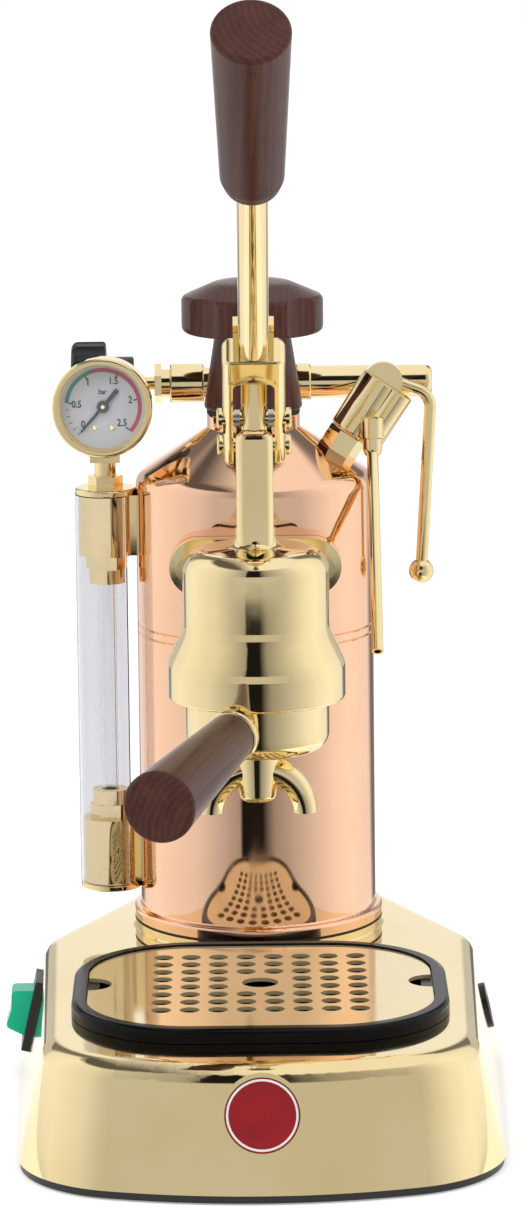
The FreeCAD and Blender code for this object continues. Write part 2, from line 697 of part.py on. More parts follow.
def make_boiler():
    foot = [(BOILER_MOUTH_R, BOILER_Z), (FLANGE_R, BOILER_Z),
            (FLANGE_R, BOILER_Z + FLANGE_T, FLANGE_OUT / 2),
            (BOILER_R, BOILER_Z + FLANGE_T, FLANGE_OUT / 3)]
    seam = BOILER_Z + SEAM_H
    seams = []
    for z in (seam - SEAM_W / 2, seam + SEAM_W / 2):
        seams += [(BOILER_R, z - SEAM_DEEP), (BOILER_R - SEAM_DEEP, z), (BOILER_R, z + SEAM_DEEP)]
    shoulder, cone_top = boiler_outline(0.0)
    inner_shoulder, inner_top = boiler_outline(BOILER_WALL)
    dome_z = SHOULDER_Z - DOME_SKIRT
    inner_r = BOILER_R - BOILER_WALL
    shell = turned(foot + seams + [(BOILER_R, dome_z), (inner_r, dome_z), (inner_r, BOILER_Z + FLANGE_T),
                                   (BOILER_MOUTH_R, BOILER_Z + FLANGE_T)])
    dome = turned([(BOILER_R, dome_z), shoulder, cone_top, (NECK_R - NECK_SEAT, CONE_TOP), inner_top,
                   inner_shoulder, (inner_r, dome_z)])
    bush_r = NECK_R - NECK_SEAT - FIT
    neck = turned([(NECK_R - NECK_WALL, CONE_TOP - NECK_BELOW), (bush_r, CONE_TOP - NECK_BELOW),
                   (bush_r, CONE_TOP),
                   (NECK_R, CONE_TOP), (NECK_R, NECK_TOP, NECK_EDGE_R), (NECK_R - NECK_WALL, NECK_TOP)])
    pad = stadium(PAD_HALF_W, PAD_R, PAD_Z, 0.0, PAD_FACE)
    pad = pad.cut(disc(BOILER_R - BOILER_WALL / 2, BOILER_H, (0, 0, BOILER_Z)))
    shell = fused(shell, pad)
    for x in (-BOLT_X, BOLT_X):
        shell = shell.cut(disc(BOLT_R + FIT, BOLT_DEEP + FIT, (x, -PAD_FACE, PAD_Z), BACK))
    gasket = ring(FLANGE_R, BASE_HOLE_R, FOOT_GASKET_T, (0, 0, BASE_TOP + COLLAR_H))
    heater = disc(BASE_HOLE_R - GAP, HEATER_FLANGE_T, (0, 0, BOILER_Z - HEATER_FLANGE_T))
    nut = ring(RING_NUT_R, RING_NUT_BORE, RING_NUT_T, (0, 0, BASE_TOP - BASE_WALL - RING_NUT_T))
    bend_z = BOILER_Z + ELEMENT_H
    legs = [disc(ELEMENT_R, ELEMENT_H, (x, 0, BOILER_Z)) for x in (-ELEMENT_HALF, ELEMENT_HALF)]
    section = Part.Face(Part.Wire(Part.makeCircle(ELEMENT_R, FreeCAD.Vector(ELEMENT_HALF, 0, bend_z))))
    bend = section.revolve(FreeCAD.Vector(0, 0, bend_z), FreeCAD.Vector(0, -1, 0), 180)
    return {"boiler_shell": shell, "boiler_dome": dome, "boiler_neck": neck, "boiler_gasket": gasket,
            "heater_flange": heater, "boiler_ring_nut": nut,
            "heating_element": fused(legs[0], legs[1], bend)}


# Group

def wedge(radius, height, z, middle, angle):
    """Slice of a cylinder on the group's axis: angle degrees wide about the direction middle."""
    slice_ = Part.makeCylinder(radius, height, FreeCAD.Vector(0, 0, 0), FreeCAD.Vector(0, 0, 1), angle)
    turn = FreeCAD.Rotation(FreeCAD.Vector(0, 0, 1), middle - angle / 2)
    slice_.Placement = FreeCAD.Placement(FreeCAD.Vector(0, GROUP_Y, z), turn)
    return slice_


def make_group():
    at = (0, GROUP_Y, GROUP_Z)
    seat = SEAL_H + SEAL_T
    trumpet_top = BELL_TOP + TRUMPET_H
    outside = [(BELL_RIM_R, 0.0, 1.5), (BELL_RIM_R, BELL_RIM_H + 1.5, BELL_CURVE_R),
               (BELL_R, BELL_FLARE_H, BELL_CURVE_R),
               (BELL_R, BELL_TOP - 1.5, BELL_EDGE_R), (TRUMPET_R, BELL_TOP, TRUMPET_FILLET / 2),
               (TRUMPET_R, trumpet_top)]
    bore = ROD_R + GAP
    inside = [(bore, trumpet_top), (bore, CYLINDER_TOP), (SLEEVE_R + FIT, CYLINDER_TOP),
              (SLEEVE_R + FIT, seat),
              (RECESS_R, seat), (RECESS_R, LIP_H), (BOWL_R + LIP_GAP, LIP_H), (BOWL_R + LIP_GAP, 0.0)]
    bell = turned(outside + inside, at)
    ear_slot = EAR_ANGLE + 8.0
    for middle in (handle_heading() - EAR_UNLOCK, handle_heading() - EAR_UNLOCK + 180.0):
        bell = bell.cut(wedge(RECESS_R, LIP_H, GROUP_Z, middle, ear_slot))
    flange = stadium(GROUP_FLANGE_HALF_W, GROUP_FLANGE_R, PAD_Z, -FLANGE_BACK, GROUP_FLANGE_T)
    neck = disc(GROUP_NECK_R, GROUP_REACH, (0, -FLANGE_BACK, PAD_Z), FRONT)
    hollow = disc(SLEEVE_R + FIT, CYLINDER_TOP - seat, shifted(at, (0, 0, 1), seat))
    arm = fused(flange, neck).cut(hollow)
    for x in (-BOLT_X, BOLT_X):
        arm = arm.cut(disc(BOLT_R + FIT, GROUP_REACH, (x, -FLANGE_BACK, PAD_Z), FRONT))
        clear_z = PAD_Z - BOLT_HEAD_R - GAP
        head_y = -(FLANGE_BACK + GROUP_FLANGE_T)
        bell = bell.cut(disc(BOLT_HEAD_R + GAP, BOLT_HEAD_T + GAP, (x, head_y, PAD_Z), FRONT))
        assert clear_z > GROUP_Z
    body = fused(bell, arm, make_column())
    body = body.cut(disc(bore, COLUMN_Z - GROUP_Z, (0, GROUP_Y, GROUP_Z + CYLINDER_TOP)))
    gasket = stadium(GROUP_FLANGE_HALF_W, GROUP_FLANGE_R, PAD_Z, -PAD_FACE, GROUP_GASKET_T)
    bolts = []
    for x in (-BOLT_X, BOLT_X):
        gasket = gasket.cut(disc(BOLT_R + FIT, GROUP_GASKET_T, (x, -PAD_FACE, PAD_Z), FRONT))
        shank = disc(BOLT_R, BOLT_DEEP + GROUP_GASKET_T + GROUP_FLANGE_T,
                     (x, BOLT_DEEP - PAD_FACE, PAD_Z), FRONT)
        head = disc(BOLT_HEAD_R, BOLT_HEAD_T, (x, -FLANGE_BACK - GROUP_FLANGE_T, PAD_Z), FRONT)
        bolts.append(fused(shank, head))
    sleeve_z = seat + SCREEN_T
    sleeve = ring(SLEEVE_R, CYLINDER_R, CYLINDER_TOP - sleeve_z, shifted(at, (0, 0, 1), sleeve_z))
    seal = ring(RECESS_R - FIT, SEAL_BORE, SEAL_T, shifted(at, (0, 0, 1), SEAL_H))
    screen_at = shifted(at, (0, 0, 1), seat)
    screen = disc(SCREEN_R, SCREEN_T, screen_at)
    holes = []
    for row, count in ((7.0, 6), (14.0, 12), (20.5, 18)):
        for step in range(count):
            turn = math.radians(360.0 * step / count)
            holes.append(disc(SCREEN_HOLE_R, SCREEN_T,
                              shifted(screen_at, (math.cos(turn), math.sin(turn), 0), row)))
    return {"group_body": body, "group_gasket": gasket, "group_bolts": Part.makeCompound(bolts),
            "cylinder_sleeve": sleeve, "group_seal": seal,
            "shower_screen": screen.cut(Part.makeCompound(holes))}


def make_column():
    """Deep narrow column on the bell: a front shield and a fulcrum lug, slotted between for the rod pin."""
    foot_z = GROUP_Z + BELL_TOP - BELL_EDGE_R / 2
    front = GROUP_Y - COLUMN_FRONT
    lug_back = FULCRUM_Y + LUG_R
    outline = [(front, foot_z), (front, COLUMN_Z, COLUMN_EDGE_R), (lug_back, COLUMN_Z, LUG_R),
               (lug_back, FULCRUM_Z - LUG_R, LUG_R), (GROUP_Y + COLUMN_FRONT, foot_z + TRUMPET_H, LUG_R),
               (GROUP_Y + COLUMN_FRONT, foot_z)]
    wire = rounded_wire(outline, lambda a, b: FreeCAD.Vector(-COLUMN_HALF_W, a, b))
    column = Part.Face(wire).extrude(FreeCAD.Vector(2 * COLUMN_HALF_W, 0, 0))
    upright = [e for e in column.Edges if all(abs(p.Y - front) < TINY for p in e.Vertexes)
               and abs(e.Vertexes[0].Z - e.Vertexes[-1].Z) > 1.0]
    column = column.makeFillet(COLUMN_EDGE_R, upright)
    slot_half = ROLLER_R + GAP
    slot_low = ROD_PIN_Z - PISTON_DOWN - slot_half
    slot = Part.makeBox(2 * COLUMN_HALF_W, 2 * slot_half, COLUMN_Z - slot_low,
                        FreeCAD.Vector(-COLUMN_HALF_W, GROUP_Y - slot_half, slot_low))
    column = column.cut(slot)
    return column.cut(disc(FULCRUM_R + FIT, 2 * COLUMN_HALF_W, (-COLUMN_HALF_W, FULCRUM_Y, FULCRUM_Z),
                           RIGHT))


# Piston

def pin_with_heads(radius, y, z):
    """Cross pin from one side of the fork to the other, with a round head beyond each arm."""
    seat = FORK_HALF_W + GAP
    shank = disc(radius, 2 * seat, (-seat, y, z), RIGHT)
    heads = [turned([(0.0, 0.0), (PIN_HEAD_R, 0.0), (PIN_HEAD_R, PIN_HEAD_T, PIN_HEAD_T / 2),
                     (0.0, PIN_HEAD_T)],
                    (side * seat, y, z), (side, 0, 0)) for side in (-1, 1)]
    return fused(shank, heads[0], heads[1])


def make_piston():
    top = GROUP_Z + CYLINDER_TOP - PISTON_TOP_ROOM
    bottom = top - PISTON_H
    at = (0, GROUP_Y, bottom)
    radius = CYLINDER_R - GAP
    groove = radius - RING_DEEP
    low = PISTON_H / 4 - RING_T / 2
    high = PISTON_H * 3 / 4 - RING_T / 2
    rod_seat = PISTON_H / 2
    outline = [(0.0, 0.0), (radius, 0.0), (radius, low), (groove, low), (groove, low + RING_T),
               (radius, low + RING_T),
               (radius, high), (groove, high), (groove, high + RING_T), (radius, high + RING_T),
               (radius, PISTON_H),
               (ROD_R, PISTON_H), (ROD_R, rod_seat), (0.0, rod_seat)]
    rings = [ring(CYLINDER_R - FIT, groove, RING_T, shifted(at, (0, 0, 1), z)) for z in (low, high)]
    rod_top = ROD_PIN_Z + ROD_ABOVE_PIN
    rod_low = bottom + rod_seat
    rod = turned([(0.0, 0.0), (ROD_R, 0.0), (ROD_R, rod_top - rod_low, ROD_R / 4),
                  (0.0, rod_top - rod_low)],
                 (0, GROUP_Y, rod_low))
    rod = rod.cut(disc(ROD_PIN_R + FIT, 2 * ROD_R, (-ROD_R, GROUP_Y, ROD_PIN_Z), RIGHT))
    roller_length = FORK_SLOT_HALF_W - ROD_R - 2 * GAP
    rollers = [ring(ROLLER_R, ROD_PIN_R + FIT, roller_length, (side * (ROD_R + GAP), GROUP_Y, ROD_PIN_Z),
                    (side, 0, 0))
               for side in (-1, 1)]
    return {"piston": turned(outline, at), "piston_seals": Part.makeCompound(rings), "piston_rod": rod,
            "rod_pin": pin_with_heads(ROD_PIN_R, GROUP_Y, ROD_PIN_Z),
            "rod_rollers": Part.makeCompound(rollers)}


# Lever

def lever_point(u, v, x=0.0):
    """Point u along the lever from the fulcrum and v above its axis."""
    c = math.cos(math.radians(LEVER_ANGLE))
    s = math.sin(math.radians(LEVER_ANGLE))
    return x, FULCRUM_Y - u * c + v * s, FULCRUM_Z + u * s + v * c


def lever_prism(corners, half_width):
    wire = rounded_wire(corners, lambda u, v: vec(lever_point(u, v, -half_width)))
    return Part.Face(wire).extrude(FreeCAD.Vector(2 * half_width, 0, 0))


def make_lever():
    along = (0, -math.cos(math.radians(LEVER_ANGLE)), math.sin(math.radians(LEVER_ANGLE)))
    end = FORK_END_R - SLIVER
    body = [(-FORK_END_R, -FORK_END_R, end), (FORK_END_R, -FORK_END_R, FORK_END_R / 2),
            (FORK_CROTCH, -FORK_HALF_H), (FORK_LENGTH, -FORK_HALF_H, FORK_LOW_R),
            (FORK_LENGTH, FORK_HALF_H, FORK_TOP_R),
            (FORK_CROTCH, FORK_HALF_H), (FORK_END_R, FORK_END_R, FORK_END_R / 2),
            (-FORK_END_R, FORK_END_R, end)]
    fork = lever_prism(body, FORK_HALF_W)
    shoulders = [e for e in fork.Edges if abs(e.CenterOfMass.x) > FORK_HALF_W - TINY
                 and abs((e.CenterOfMass.y - FULCRUM_Y) * along[1] + (e.CenterOfMass.z - FULCRUM_Z) * along[2]
                         - FORK_LENGTH) < TINY]
    fork = fork.makeFillet(FORK_CROTCH_R, shoulders)
    tail_root = FORK_LENGTH - FORK_TOP_R
    tail = lever_prism([(tail_root, TAIL_LOW), (FORK_LENGTH + TAIL_LENGTH, TAIL_LOW),
                        (FORK_LENGTH + TAIL_LENGTH, FORK_HALF_H, FORK_TOP_R), (tail_root, FORK_HALF_H)],
                       TAIL_HALF_W)
    fork = fused(fork, tail)
    reach = 2 * FORK_END_R
    mouth = [(-reach, -FORK_SLOT_HALF_W), (FORK_CROTCH, -FORK_SLOT_HALF_W, FORK_CROTCH_R),
             (FORK_CROTCH, FORK_SLOT_HALF_W, FORK_CROTCH_R), (-reach, FORK_SLOT_HALF_W)]
    wire = rounded_wire(mouth, lambda u, x: vec(lever_point(u, -reach, x)))
    up = vec(lever_point(0, 1)) - vec(lever_point(0, 0))
    fork = fork.cut(Part.Face(wire).extrude(up * (2 * reach)))
    fork = fork.cut(disc(FULCRUM_R + FIT, 2 * FORK_HALF_W, (-FORK_HALF_W, FULCRUM_Y, FULCRUM_Z), RIGHT))
    slot_end = PIN_SLOT_HALF_W - SLIVER
    slot = [(PIN_SLOT_NEAR - PIN_SLOT_HALF_W, -PIN_SLOT_LOW - PIN_SLOT_HALF_W, slot_end),
            (PIN_SLOT_FAR + PIN_SLOT_HALF_W, -PIN_SLOT_LOW - PIN_SLOT_HALF_W, slot_end),
            (PIN_SLOT_FAR + PIN_SLOT_HALF_W, -PIN_SLOT_LOW + PIN_SLOT_HALF_W, slot_end),
            (PIN_SLOT_NEAR - PIN_SLOT_HALF_W, -PIN_SLOT_LOW + PIN_SLOT_HALF_W, slot_end)]
    fork = fork.cut(lever_prism(slot, FORK_HALF_W))
    rod_start = FORK_LENGTH - LEVER_SEAT
    rod_length = GRIP_START + LEVER_SEAT - rod_start
    fork = fork.cut(disc(LEVER_R + FIT, rod_length, lever_point(rod_start, 0), along))
    rod = disc(LEVER_R, rod_length, lever_point(rod_start, 0), along)
    grip = turned([(0.0, 0.0), (GRIP_NECK_R, 0.0, 2 * GRIP_EDGE_R),
                   (GRIP_NECK_R + GRIP_EDGE_R, GRIP_SHOULDER, GRIP_SHOULDER),
                   (GRIP_END_R, GRIP_LENGTH, GRIP_EDGE_R), (0.0, GRIP_LENGTH)],
                  lever_point(GRIP_START, 0), along)
    grip = grip.cut(disc(LEVER_R + FIT, LEVER_SEAT, lever_point(GRIP_START, 0), along))
    return {"lever_fork": fork, "lever_rod": rod, "lever_handle": grip,
            "fulcrum_pin": pin_with_heads(FULCRUM_R, FULCRUM_Y, FULCRUM_Z)}


# Portafilter

def handle_heading():
    """Direction of the portafilter's handle, in degrees from +X, seen from above."""
    return 270.0 - HANDLE_TURN


def make_portafilter():
    at = (0, GROUP_Y, GROUP_Z)
    bowl_low = -BOWL_BELOW
    bowl = turned([(OUTLET_R, bowl_low), (BOWL_R, bowl_low, BOWL_EDGE_R), (BOWL_R, BOWL_ABOVE),
                   (BOWL_R - BOWL_WALL, BOWL_ABOVE),
                   (BOWL_R - BOWL_WALL, bowl_low + BOWL_FLOOR, BOWL_EDGE_R - BOWL_WALL),
                   (OUTLET_R, bowl_low + BOWL_FLOOR)], at)
    ear_z = GROUP_Z + LIP_H + GAP
    core = disc(BOWL_R - BOWL_WALL, EAR_T, (0, GROUP_Y, ear_z))
    ears = [wedge(EAR_R, EAR_T, ear_z, handle_heading() + turn, EAR_ANGLE).cut(core)
            for turn in (0.0, 180.0)]
    turn = math.radians(handle_heading())
    droop = math.radians(HANDLE_DROOP)
    along = (math.cos(turn) * math.cos(droop), math.sin(turn) * math.cos(droop), -math.sin(droop))
    root = (0, GROUP_Y, GROUP_Z - HANDLE_DROP)
    boss = disc(BOSS_R, BOSS_END, root, along)
    boss = boss.cut(disc(BOWL_R - BOWL_WALL / 2, BOWL_BELOW + BOWL_ABOVE,
                         (0, GROUP_Y, GROUP_Z + bowl_low)))
    body = fused(bowl, ears[0], ears[1], boss)
    basket_top = BOWL_ABOVE + BASKET_LIP_T
    wall = BASKET_BORE + BASKET_WALL
    basket = turned([(0.0, basket_top - BASKET_DEPTH - BASKET_WALL),
                     (wall, basket_top - BASKET_DEPTH - BASKET_WALL, 2.0),
                     (wall, BOWL_ABOVE), (BASKET_LIP_R, BOWL_ABOVE), (BASKET_LIP_R, basket_top),
                     (BASKET_BORE, basket_top),
                     (BASKET_BORE, basket_top - BASKET_DEPTH, 1.5), (0.0, basket_top - BASKET_DEPTH)], at)
    ferrule_at = shifted(root, along, BOSS_END)
    ferrule = turned([(FERRULE_BORE, 0.0), (FERRULE_R - 2.0, 0.0, 1.0), (FERRULE_R, 1.5, 0.8),
                      (FERRULE_R, FERRULE_LENGTH, 1.5),
                      (FERRULE_BORE, FERRULE_LENGTH)], ferrule_at, along)
    handle_at = shifted(ferrule_at, along, FERRULE_LENGTH)
    handle = turned([(0.0, 0.0), (HANDLE_NECK_R, 0.0, 2.0), (HANDLE_END_R, HANDLE_LENGTH, GRIP_EDGE_R),
                     (0.0, HANDLE_LENGTH)],
                    handle_at, along)
    return {"portafilter_body": body, "filter_basket": basket, "handle_ferrule": ferrule,
            "portafilter_handle": handle, "portafilter_spout": make_spout()}


def make_spout():
    top = GROUP_Z - BOWL_BELOW
    hub = turned([(0.0, -HUB_H), (HUB_LOW_R, -HUB_H, 3.0), (HUB_TOP_R, 0.0), (0.0, 0.0)],
                 (0, GROUP_Y, top))
    drains = []
    for side in (-1, 1):
        centre = FreeCAD.Vector(side * SPOUT_FROM, GROUP_Y, top - SPOUT_TIP)
        high = centre + FreeCAD.Vector(0, 0, SPOUT_BEND)
        low = centre + FreeCAD.Vector(side * SPOUT_BEND, 0, 0)
        middle = centre + FreeCAD.Vector(side, 0, 1) * (SPOUT_BEND / math.sqrt(2))
        route = Part.Wire(Part.Arc(high, middle, low).toShape())
        root = Part.Wire(Part.makeCircle(SPOUT_ROOT_R, high, FreeCAD.Vector(side, 0, 0)))
        tip = Part.Wire(Part.makeCircle(SPOUT_R, low, FreeCAD.Vector(0, 0, -1)))
        hub = fused(hub, route.makePipeShell([root, tip], True, True))
        bore = Part.makeCircle(SPOUT_BORE, high, FreeCAD.Vector(side, 0, 0))
        drains.append(Part.Face(Part.Wire(bore)).revolve(centre, FreeCAD.Vector(0, side, 0), 90))
    for pipe in drains:
        hub = hub.cut(pipe)
    return hub.cut(disc(OUTLET_R, SPOUT_TIP - SPOUT_BEND, (0, GROUP_Y, top), DOWN))


# Boiler cap

def make_cap():
    knob_low = CAP_STEM_H
    side = knob_low + CAP_KNOB_SIDE
    stem = [(0.0, 0.0), (CAP_STEM_R, 0.0, 2.0), (CAP_STEM_TOP_R, knob_low)]
    knob = turned(stem + [(CAP_KNOB_R, knob_low, CAP_EDGE_R), (CAP_KNOB_R, side, CAP_EDGE_R),
                          (CAP_CROWN_R, side + CAP_KNOB_DOME - CAP_CROWN_H, CAP_CROWN_R),
                          (0.0, side + CAP_KNOB_DOME)],
                  (0, 0, CAP_Z))
    reach = CAP_KNOB_R + CAP_FLUTE_R - CAP_FLUTE_DEEP
    for angle in (45, 135, 225, 315):
        turn = math.radians(angle)
        knob = knob.cut(disc(CAP_FLUTE_R, CAP_KNOB_SIDE + CAP_KNOB_DOME,
                             (reach * math.cos(turn), reach * math.sin(turn), CAP_Z + knob_low)))
    knob = knob.cut(disc(CAP_STUD_R + FIT, CAP_STUD_H + FIT, (0, 0, CAP_Z)))
    plug_r = NECK_R - NECK_WALL - CAP_THREAD
    plug = fused(disc(plug_r, CAP_PLUG_LENGTH, (0, 0, CAP_Z - CAP_PLUG_LENGTH)),
                 disc(CAP_STUD_R, CAP_STUD_H, (0, 0, CAP_Z)))
    gasket = ring(NECK_R, NECK_R - NECK_WALL, CAP_GASKET_T, (0, 0, NECK_TOP))
    return {"cap_knob": knob, "cap_plug": plug, "cap_gasket": gasket}


# Valve line

def cone_height(radius):
    return SHOULDER_Z + (BOILER_R - radius) * math.tan(CONE_LEAN)


def boiler_block():
    """Closed block of the boiler's outside above the seam, to seat fittings on its skin."""
    shoulder, cone_top = boiler_outline(0.0)
    low = SHOULDER_Z - BOILER_H / 2
    return turned([(0.0, low), (BOILER_R, low), shoulder, cone_top, (NECK_R, NECK_TOP), (0.0, NECK_TOP)])


def make_valve_line():
    tee = disc(LINE_R, TEE_LEFT + TEE_RIGHT, (-TEE_LEFT, LINE_Y, LINE_Z), RIGHT)
    riser_low = cone_height(LINE_Y + RISER_R) - LINE_R
    riser = disc(RISER_R, LINE_Z - riser_low, (0, LINE_Y, riser_low)).cut(boiler_block())
    manifold = fused(tee, riser)
    safety = turned([(0.0, 0.0), (SAFETY_COLLAR_R, 0.0, 0.8), (SAFETY_COLLAR_R, SAFETY_COLLAR, 0.8),
                     (SAFETY_R, SAFETY_COLLAR),
                     (SAFETY_R, SAFETY_COLLAR + SAFETY_LENGTH, SAFETY_END_R),
                     (0.0, SAFETY_COLLAR + SAFETY_LENGTH)],
                    (TEE_RIGHT, LINE_Y, LINE_Z), RIGHT)
    vent_at = (-TEE_LEFT, LINE_Y, LINE_Z)
    nut_from = VENT_LENGTH + VENT_NECK
    body = turned([(0.0, 0.0), (VENT_R, 0.0, 0.8), (VENT_R, VENT_LENGTH, 0.8), (VENT_NECK_R, VENT_LENGTH),
                   (VENT_NECK_R, nut_from), (0.0, nut_from)], vent_at, LEFT)
    nut_at = shifted(vent_at, LEFT, nut_from)
    body = fused(body, hexagon(VENT_NUT, VENT_NUT_T, nut_at, LEFT))
    body = body.cut(disc(VENT_SPINDLE_R + FIT, nut_from, shifted(vent_at, LEFT, VENT_LENGTH / 2), LEFT))
    face = shifted(nut_at, LEFT, VENT_NUT_T)
    inside = VENT_NUT_T + VENT_NECK
    spindle = disc(VENT_SPINDLE_R, inside + VENT_SPINDLE, shifted(face, LEFT, -inside), LEFT)
    knob = turned([(0.0, 0.0), (VENT_HUB_R, 0.0, 1.0), (VENT_HUB_R, VENT_HUB, 1.0),
                   (VENT_KNOB_R, VENT_HUB, 1.5),
                   (VENT_KNOB_R, VENT_HUB + VENT_KNOB_T, 3.0), (0.0, VENT_HUB + VENT_KNOB_T)],
                  shifted(face, LEFT, VENT_KNOB_GAP), LEFT)
    grip = VENT_KNOB_R + VENT_KNOB_R / 6
    for step in range(12):
        turn = math.radians(30.0 * step)
        centre = shifted(shifted(face, LEFT, VENT_KNOB_GAP + VENT_HUB),
                         (0, math.cos(turn), math.sin(turn)), grip)
        knob = knob.cut(disc(VENT_KNOB_R / 4, VENT_KNOB_T, centre, LEFT))
    knob = knob.cut(disc(VENT_SPINDLE_R + FIT, VENT_SPINDLE - VENT_KNOB_GAP + FIT,
                         shifted(face, LEFT, VENT_KNOB_GAP), LEFT))
    return {"valve_manifold": manifold, "safety_valve": safety, "vent_valve_body": body,
            "vent_spindle": spindle,
            "vent_knob": knob}


# Sight glass

def sight_block(z, height, flange_z):
    """Round block with a flat saddle to the boiler and a flange that holds the guard."""
    block = disc(BLOCK_R, height, (SIGHT_X, 0, z))
    saddle = Part.makeBox(-SIGHT_X, 2 * SADDLE_HALF_W, height, FreeCAD.Vector(SIGHT_X, -SADDLE_HALF_W, z))
    flange = turned([(0.0, 0.0), (SIGHT_FLANGE_R, 0.0, 0.6), (SIGHT_FLANGE_R, SIGHT_FLANGE_T, 1.0),
                     (0.0, SIGHT_FLANGE_T)],
                    (SIGHT_X, 0, flange_z))
    return fused(block, saddle, flange).cut(disc(BOILER_R, BOILER_H, (0, 0, BOILER_Z)))


def make_sight_glass():
    upper_seat = UPPER_Z - SIGHT_NUT_H
    lower_top = LOWER_Z + LOWER_H
    upper = sight_block(UPPER_Z, UPPER_H, UPPER_Z + UPPER_H)
    lower = sight_block(LOWER_Z, LOWER_H, LOWER_Z - SIGHT_FLANGE_T)
    bore = TUBE_R + FIT
    upper = upper.cut(disc(bore, TUBE_SEAT, (SIGHT_X, 0, UPPER_Z)))
    lower = lower.cut(disc(bore, TUBE_SEAT, (SIGHT_X, 0, lower_top), DOWN))
    nuts = []
    for z, way in ((UPPER_Z, DOWN), (lower_top, (0, 0, 1))):
        at = (SIGHT_X, 0, z)
        half = SIGHT_NUT_H / 2
        nut = fused(hexagon(SIGHT_NUT, half, at, way), disc(SIGHT_NUT / 2, SIGHT_NUT_H, at, way))
        nuts.append(nut.cut(disc(bore, SIGHT_NUT_H, at, way)))
    assert upper_seat > lower_top
    tube_z = lower_top - TUBE_SEAT
    tube = ring(TUBE_R, TUBE_R - TUBE_WALL, UPPER_Z + TUBE_SEAT - tube_z, (SIGHT_X, 0, tube_z))
    guard_h = UPPER_Z + UPPER_H - LOWER_Z
    guard = ring(GUARD_R, GUARD_R - GUARD_WALL, guard_h, (SIGHT_X, 0, LOWER_Z))
    gap = Part.makeCylinder(2 * GUARD_R, guard_h, FreeCAD.Vector(0, 0, 0), FreeCAD.Vector(0, 0, 1),
                            GUARD_OPEN)
    turn = FreeCAD.Rotation(FreeCAD.Vector(0, 0, 1), -GUARD_OPEN / 2)
    gap.Placement = FreeCAD.Placement(FreeCAD.Vector(SIGHT_X, 0, LOWER_Z), turn)
    return {"sight_upper_block": upper, "sight_lower_block": lower, "sight_nuts": Part.makeCompound(nuts),
            "sight_glass": tube, "sight_guard": guard.cut(gap)}


# Pressure gauge

def gauge_out():
    turn = math.radians(GAUGE_TURN)
    return -math.sin(turn), -math.cos(turn), 0.0


def gauge_front():
    """Middle of the case's open front."""
    return shifted((SIGHT_X, 0, GAUGE_Z), gauge_out(), GAUGE_DEPTH / 2 + GAUGE_LEAD)


def make_gauge():
    out = gauge_out()
    front = gauge_front()
    back = shifted(front, out, -GAUGE_DEPTH)
    case = turned([(0.0, 0.0), (GAUGE_R, 0.0, 2.0), (GAUGE_R, GAUGE_DEPTH),
                   (GAUGE_R - GAUGE_BACK_WALL, GAUGE_DEPTH),
                   (GAUGE_R - GAUGE_BACK_WALL, GAUGE_BACK_WALL), (0.0, GAUGE_BACK_WALL)], back, out)
    stem = disc(GAUGE_NECK_R, GAUGE_STEM_H + GAUGE_R, (SIGHT_X, 0, SIGHT_TOP))
    stem = stem.cut(disc(GAUGE_R - GAUGE_BACK_WALL / 2, GAUGE_DEPTH, back, out))
    block_h = GAUGE_NECK_R
    block = Part.makeBox(2.8 * GAUGE_NECK_R, 2 * GAUGE_NECK_R, block_h + GAUGE_R / 2,
                         FreeCAD.Vector(SIGHT_X - 1.4 * GAUGE_NECK_R, -GAUGE_NECK_R,
                                        GAUGE_Z - GAUGE_R - block_h))
    block = block.cut(disc(GAUGE_R - GAUGE_BACK_WALL / 2, GAUGE_DEPTH, back, out))
    case = fused(case, stem, block, hexagon(GAUGE_NUT, GAUGE_NUT_H, (SIGHT_X, 0, SIGHT_TOP)))
    bezel_back = shifted(front, out, -GAUGE_BEZEL_DEPTH / 2)
    half = GAUGE_BEZEL_DEPTH / 2
    bezel = turned([(GAUGE_R, 0.0), (GAUGE_BEZEL_R, 0.0, 0.6), (GAUGE_BEZEL_R, GAUGE_BEZEL_DEPTH, 1.3),
                    (GAUGE_BEZEL_LIP, GAUGE_BEZEL_DEPTH, 0.4), (GAUGE_BEZEL_LIP, half), (GAUGE_R, half)],
                   bezel_back, out)
    inner = GAUGE_R - GAUGE_BACK_WALL
    dial_at = shifted(front, out, -DIAL_DEEP)
    dial = disc(inner, DIAL_T, dial_at, out).cut(disc(NEEDLE_HOLE_R + FIT, DIAL_T, dial_at, out))
    lens = disc(inner, LENS_T, shifted(front, out, -LENS_T), out)
    return {"gauge_case": case, "gauge_bezel": bezel, "gauge_dial": dial, "gauge_lens": lens,
            "gauge_needle": make_needle(shifted(dial_at, out, DIAL_T))}


def make_needle(dial_face):
    """Needle over the dial, pointing at zero, on a spindle through the dial."""
    out = vec(gauge_out())
    right = FreeCAD.Vector(-out.y, out.x, 0)
    up = FreeCAD.Vector(0, 0, 1)
    zero = math.radians(NEEDLE_ZERO)
    along = right * math.cos(zero) + up * math.sin(zero)
    across = out.cross(along)
    low = vec(dial_face) + out * GAP
    tip = low + along * NEEDLE_LENGTH
    tail = low - along * NEEDLE_TAIL
    half = across * (NEEDLE_W / 2)
    outline = Part.makePolygon([tip + half * 0.4, tip - half * 0.4, tail - half, tail + half,
                                tip + half * 0.4])
    blade = Part.Face(outline).extrude(out * NEEDLE_T)
    hub = Part.makeCylinder(NEEDLE_HUB_R, 2 * NEEDLE_T, low, out)
    spindle = Part.makeCylinder(NEEDLE_HOLE_R, DIAL_T + 2 * GAP, low - out * (DIAL_T + 2 * GAP), out)
    return fused(blade, hub, spindle)


# Steam tap

def tap_along():
    return math.sin(CONE_LEAN), 0.0, math.cos(CONE_LEAN)


